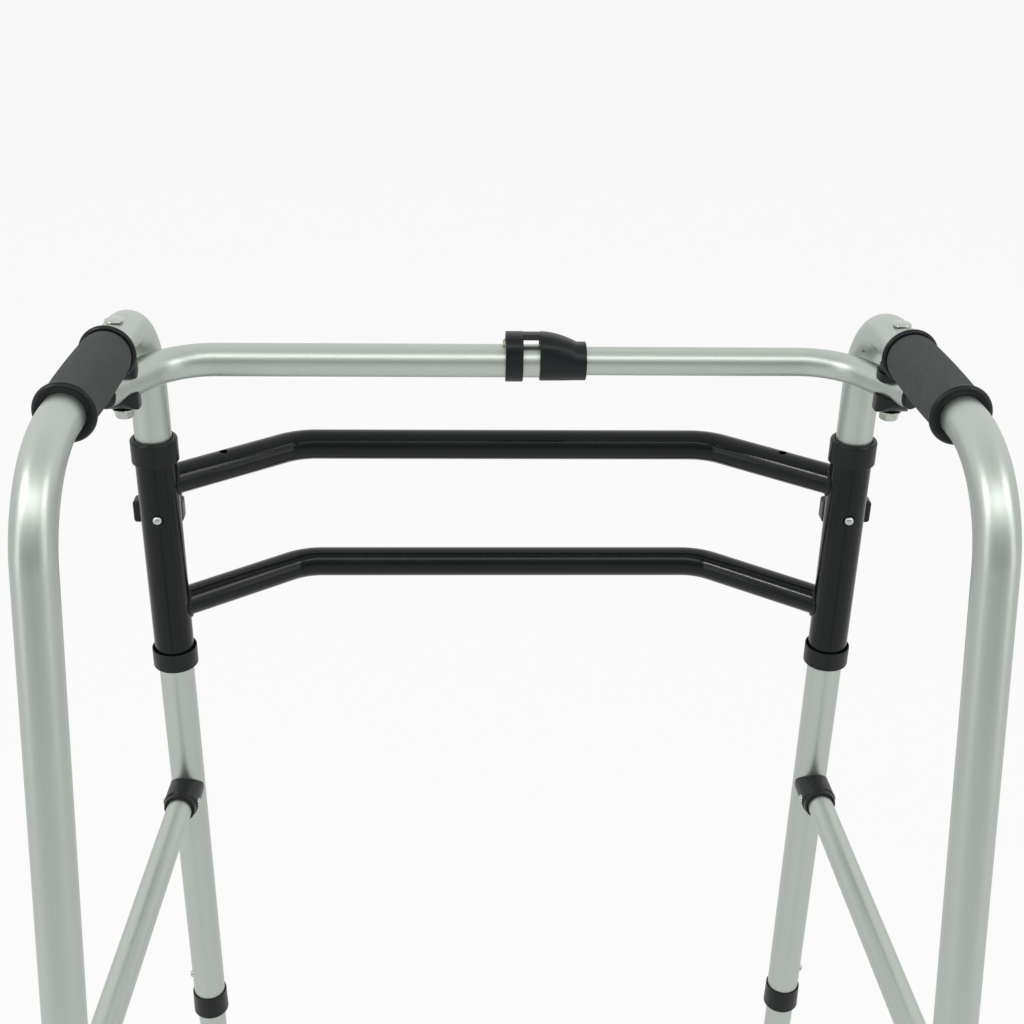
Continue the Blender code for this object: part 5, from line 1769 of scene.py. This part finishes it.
def make_lever():
    """The latch lever: a strap over the bar, a window with a rib, and a cowl."""
    lever = latch_shell("latch_handle", STRAP_SPAN[0], None, STRAP_SPAN[1], STRAP_RADIUS, 0.0007)
    cowl = latch_shell("cowl", *COWL_SPAN, COWL_RADIUS, 0.0008)
    half, low = RIB
    profile = [point for point in latch_section(roof_section(STRAP_RADIUS, OUTER_ROOF),
                                                round_section(STRAP_RADIUS), 0.0)
               if point[1] > low and abs(point[0]) < half]
    profile.sort(key=lambda point: -point[0])
    outline = [(half, low)] + profile + [(-half, low)]
    place = frame_at((0.0, BAR_Y, BAR_HEIGHT), (1.0, 0.0, 0.0), (0.0, 1.0, 0.0))
    rib = prism("rib", outline, STRAP_SPAN[1] - 0.0016, COWL_SPAN[0] + 0.0018, place)
    join(lever, cowl, rib)
    aside = Vector((0.0, TRUNNION_REACH + GAP, 0.0))
    pin_place = Vector((LATCH_PIN_PLACE, BAR_Y, BAR_HEIGHT))
    near, far = (pin_place - Vector((0.0, 0.0, out)) for out in DRILL_SPAN)
    cut(lever, rod(LATCH_PIVOT - aside, LATCH_PIVOT + aside, TRUNNION_HOLE),
        rod(far, near, LATCH_PIN_HOLE))
    smoothed(lever, 35.0)
    return place_piece(lever, "latch", "black_plastic", "latch_lever")


def make_latch_pin():
    """The steel pin under the latch's strap."""
    low, high = LATCH_PIN_HEIGHTS
    place = Matrix.Translation((LATCH_PIN_PLACE, BAR_Y, BAR_HEIGHT))
    profile = ((0.0, high), (LATCH_PIN_RADIUS, high), (LATCH_PIN_RADIUS, low), (0.0, low))
    pin = smoothed(turned("catch_pin", profile, place, closed=False, soft=0.0005, steps=36))
    return place_piece(pin, "latch", "zinc_steel", "latch_pin")


def make_mouth_bush():
    """The bush in the outer tube's mouth, with the two trunnions that the lever turns on."""
    bore, radius, start, end = MOUTH_BUSH
    place = frame_at((0.0, BAR_Y, BAR_HEIGHT), (1.0, 0.0, 0.0), (0.0, 1.0, 0.0))
    bush = turned("mouth_ring", ring_profile(bore, radius, start, end), place, soft=0.0004)
    trunnions = []
    for direction in (-1.0, 1.0):
        near = LATCH_PIVOT + Vector((0.0, direction * (radius - 0.0007), 0.0))
        far = LATCH_PIVOT + Vector((0.0, direction * TRUNNION_REACH, 0.0))
        trunnions.append(rod(near, far, TRUNNION_RADIUS))
    join(bush, *trunnions)
    smoothed(bush)
    return place_piece(bush, "bar_outer", "black_plastic", "bar_mouth_bush")


def make_spring():
    """The sprung wire under the latch's strap."""
    low, high = SPRING_HEIGHTS
    points = []
    count = SPRING_STEPS * SPRING_TURNS
    for step in range(count + 1):
        angle = math.tau * step / SPRING_STEPS
        points.append(Vector((SPRING_PLACE + SPRING_RADIUS * math.cos(angle),
                              BAR_Y + SPRING_RADIUS * math.sin(angle),
                              BAR_HEIGHT + low + (high - low) * step / count)))
    spring = smoothed(tube("coiled_wire", points, SPRING_WIRE, None, "spring_wire", sides=16))
    place_piece(spring, "bar_outer", "spring_wire", "latch_spring")
    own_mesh(spring)
    return spring


# Stage

def make_camera(stage):
    """The camera of the photograph."""
    pitch, yaw, roll = stage.camera_pitch, stage.camera_yaw, stage.camera_roll
    ahead = Vector((math.sin(yaw) * math.cos(pitch), math.cos(yaw) * math.cos(pitch),
                    -math.sin(pitch)))
    level = Vector((math.cos(yaw), -math.sin(yaw), 0.0))
    upright = level.cross(ahead)
    right = level * math.cos(roll) + upright * math.sin(roll)
    up = upright * math.cos(roll) - level * math.sin(roll)
    lens = bpy.data.cameras.new("photo_camera")
    lens.lens = stage.lens
    lens.sensor_width = 36.0
    camera = bpy.data.objects.new("photo_camera", lens)
    turn = Matrix((right, up, -ahead)).transposed().to_4x4()
    camera.matrix_world = Matrix.Translation(stage.camera_place) @ turn
    bpy.context.scene.collection.objects.link(camera)
    bpy.context.scene.camera = camera


def seen_directly(tree):
    """1 for camera, glossy and transmission rays, 0 for the rest."""
    rays = [tree.node("ShaderNodeLightPath", output=name)
            for name in ("Is Camera Ray", "Is Glossy Ray", "Is Transmission Ray")]
    return tree.maths("MINIMUM", rays[0] + rays[1] + rays[2], 1.0)


def empty_tree(owner):
    """The node tree of a world or a material, without the nodes that it starts with."""
    owner.use_nodes = True
    owner.node_tree.nodes.clear()
    return Tree(owner.node_tree)


def eased(tree, value, span):
    """0 below a span and 1 above it, with a smooth way between."""
    return tree.node("ShaderNodeMapRange", {"interpolation_type": "SMOOTHSTEP"},
                     {"Value": value, "From Min": span[0], "From Max": span[1],
                      "To Min": 0.0, "To Max": 1.0})


def make_world(stage):
    """Even light, and the white studio that the camera and the gloss see."""
    world = bpy.data.worlds.new("studio")
    bpy.context.scene.world = world
    tree = empty_tree(world)
    glossy = tree.node("ShaderNodeLightPath", output="Is Glossy Ray")
    direction = tree.node("ShaderNodeTexCoord", output="Generated")
    forward = tree.node("ShaderNodeSeparateXYZ", {}, {0: direction}, output="Y")
    upward = tree.node("ShaderNodeSeparateXYZ", {}, {0: direction}, output="Z")
    behind = eased(tree, forward, BEHIND_RANGE)
    above = eased(tree, upward, ABOVE_RANGE)
    mirror = MIRROR_FRONT + behind * MIRROR_BEHIND + above * (1.0 - behind) * MIRROR_ABOVE
    seen = seen_directly(tree)
    level = seen * (1.0 - glossy) + glossy * mirror + (1.0 - seen) * stage.ambient
    sky = tree.node("ShaderNodeBackground", {}, {"Color": (1.0, 1.0, 1.0, 1.0),
                                                 "Strength": level})
    tree.node("ShaderNodeOutputWorld", {}, {"Surface": sky})


def make_floor():
    """A pale floor that keeps the walker's shadow."""
    shape = bmesh.new()
    bmesh.ops.create_grid(shape, x_segments=1, y_segments=1, size=FLOOR_HALF)
    floor = from_bmesh("studio_floor", shape)
    material = bpy.data.materials.new("pale_floor")
    tree = empty_tree(material)
    paper = tree.node("ShaderNodeBsdfDiffuse", {}, {"Color": (0.86, 0.86, 0.86, 1.0)})
    glow = tree.node("ShaderNodeEmission", {}, {"Color": (1.0, 1.0, 1.0, 1.0), "Strength": 1.0})
    glossy = tree.node("ShaderNodeLightPath", output="Is Glossy Ray")
    share = seen_directly(tree) * FLOOR_GLOW - glossy * FLOOR_GLOW_LOSS
    surface = tree.node("ShaderNodeMixShader", {}, {0: share, 1: paper, 2: glow})
    tree.node("ShaderNodeOutputMaterial", {}, {"Surface": surface})
    floor.data.materials.append(material)


def add_softbox(name, place, width, height, power):
    """A rectangular soft light that looks at the middle of the walker."""
    light = bpy.data.lights.new(name, "AREA")
    light.shape = "RECTANGLE"
    light.size = width
    light.size_y = height
    light.energy = power
    thing = bpy.data.objects.new(name, light)
    way = Vector(LIGHT_TARGET) - Vector(place)
    thing.matrix_world = (Matrix.Translation(place)
                          @ way.to_track_quat("-Z", "Y").to_matrix().to_4x4())
    bpy.context.scene.collection.objects.link(thing)


def make_lights(stage):
    """An overhead softbox on the user's side, and a tall one and a small high lamp on each side."""
    for name, place, (width, height), power, share in LIGHTS:
        add_softbox(name, place, width, height, getattr(stage, power) * share)


# Operators

class WALKER_OT_side_frames(Operator):
    """Make both side frames' bent tubes, braces and rivets"""
    bl_idname = "walker.side_frames"
    bl_label = "Side frames"

    def execute(self, context):
        for sign, side in SIDES:
            make_side_tube(context.scene.walker_sizes, sign, side)
            make_brace(context.scene.walker_sizes, sign, side)
        return {"FINISHED"}


class WALKER_OT_legs(Operator):
    """Make the four telescopic legs with their bushes, buttons and tips"""
    bl_idname = "walker.legs"
    bl_label = "Telescopic legs"

    def execute(self, context):
        size = context.scene.walker_sizes
        for sign, side in SIDES:
            for end in ENDS:
                make_bushing(size, sign, side, end)
                make_slide(size, sign, side, end)
                make_button(size, sign, side, end)
                make_tip(size, sign, side, end)
        return {"FINISHED"}


class WALKER_OT_front_frame(Operator):
    """Make the sleeves, crossbars, weld beads and lower cups"""
    bl_idname = "walker.front_frame"
    bl_label = "Front frame"

    def execute(self, context):
        size = context.scene.walker_sizes
        for sign, side in SIDES:
            make_sleeve(size, sign, side)
            make_bottom_collar(size, sign, side)
        for name, drop in CROSSBARS:
            make_crossbar(size, name, drop)
        return {"FINISHED"}


class WALKER_OT_stops(Operator):
    """Make the bearing rings, the stop blocks and their pins"""
    bl_idname = "walker.stops"
    bl_label = "Bearings and stops"

    def execute(self, context):
        size = context.scene.walker_sizes
        for sign, side in SIDES:
            make_top_collar(size, sign, side)
            make_stop_clip(size, sign, side)
            make_stop_pin(size, sign, side)
        return {"FINISHED"}


class WALKER_OT_grips(Operator):
    """Make the grips"""
    bl_idname = "walker.grips"
    bl_label = "Grips"

    def execute(self, context):
        for sign, side in SIDES:
            make_grip(context.scene.walker_sizes, sign, side)
        return {"FINISHED"}


class WALKER_OT_top_bar(Operator):
    """Make the two tubes of the top bar, their plugs and the guide"""
    bl_idname = "walker.top_bar"
    bl_label = "Top bar"

    def execute(self, context):
        for sign, side in SIDES:
            make_bar_tube(context.scene.walker_sizes, sign, side)
        make_guide()
        return {"FINISHED"}


class WALKER_OT_pivots(Operator):
    """Make the bolts, saddles, nuts and the spacer under the handles"""
    bl_idname = "walker.pivots"
    bl_label = "Pivots"

    def execute(self, context):
        size = context.scene.walker_sizes
        for sign, side in SIDES:
            make_bolt(size, sign, side)
            make_nut(size, sign, side)
            drops = (SADDLE_TOP_DROPS[sign], SADDLE_SKIRT_DROP)
            make_saddle(size, sign, side + "_top_saddle", drops, side + "_upper_saddle")
            make_saddle(size, sign, side + "_under_saddle", LOWER_SADDLE_DROPS,
                        side + "_lower_saddle")
        make_spacer(size)
        return {"FINISHED"}


class WALKER_OT_latch(Operator):
    """Make the latch lever, its pin, its spring and the bush that it turns on"""
    bl_idname = "walker.latch"
    bl_label = "Latch"

    def execute(self, context):
        make_lever()
        make_latch_pin()
        make_mouth_bush()
        make_spring()
        return {"FINISHED"}


class WALKER_OT_studio(Operator):
    """Make the camera, the floor, the lights and the world"""
    bl_idname = "walker.studio"
    bl_label = "Studio"

    def execute(self, context):
        stage = context.scene.walker_stage
        make_camera(stage)
        make_world(stage)
        make_floor()
        make_lights(stage)
        context.scene.view_settings.view_transform = "Standard"
        return {"FINISHED"}


PIECES = (WALKER_OT_side_frames, WALKER_OT_legs, WALKER_OT_front_frame, WALKER_OT_stops,
          WALKER_OT_grips, WALKER_OT_top_bar, WALKER_OT_pivots, WALKER_OT_latch,
          WALKER_OT_studio)


class WALKER_PT_panel(Panel):
    """The walker's operators, sizes and colours"""
    bl_label = "Reciprocal walker"
    bl_space_type = "VIEW_3D"
    bl_region_type = "UI"
    bl_category = "Walker"

    def draw(self, context):
        for piece in PIECES:
            self.layout.operator(piece.bl_idname)
        for group in (context.scene.walker_sizes, context.scene.walker_finishes,
                      context.scene.walker_stage):
            box = self.layout.box()
            for name in group.bl_rna.properties.keys():
                if name not in ("rna_type", "name"):
                    box.prop(group, name)


GROUPS = {"walker_sizes": WalkerSizes, "walker_finishes": WalkerFinishes,
          "walker_stage": WalkerStage}


def register():
    """Register the classes and hang the property groups on the scene."""
    for kind in (*GROUPS.values(), *PIECES, WALKER_PT_panel):
        bpy.utils.register_class(kind)
    for name, kind in GROUPS.items():
        setattr(bpy.types.Scene, name, PointerProperty(type=kind))


def unregister():
    """Take the property groups and the classes away again."""
    for name in GROUPS:
        delattr(bpy.types.Scene, name)
    for kind in reversed((*GROUPS.values(), *PIECES, WALKER_PT_panel)):
        bpy.utils.unregister_class(kind)


def main():
    """Make every piece and the stage."""
    register()
    for piece in PIECES:
        family, name = piece.bl_idname.split(".")
        getattr(getattr(bpy.ops, family), name)()


if __name__ == "__main__":
    main()
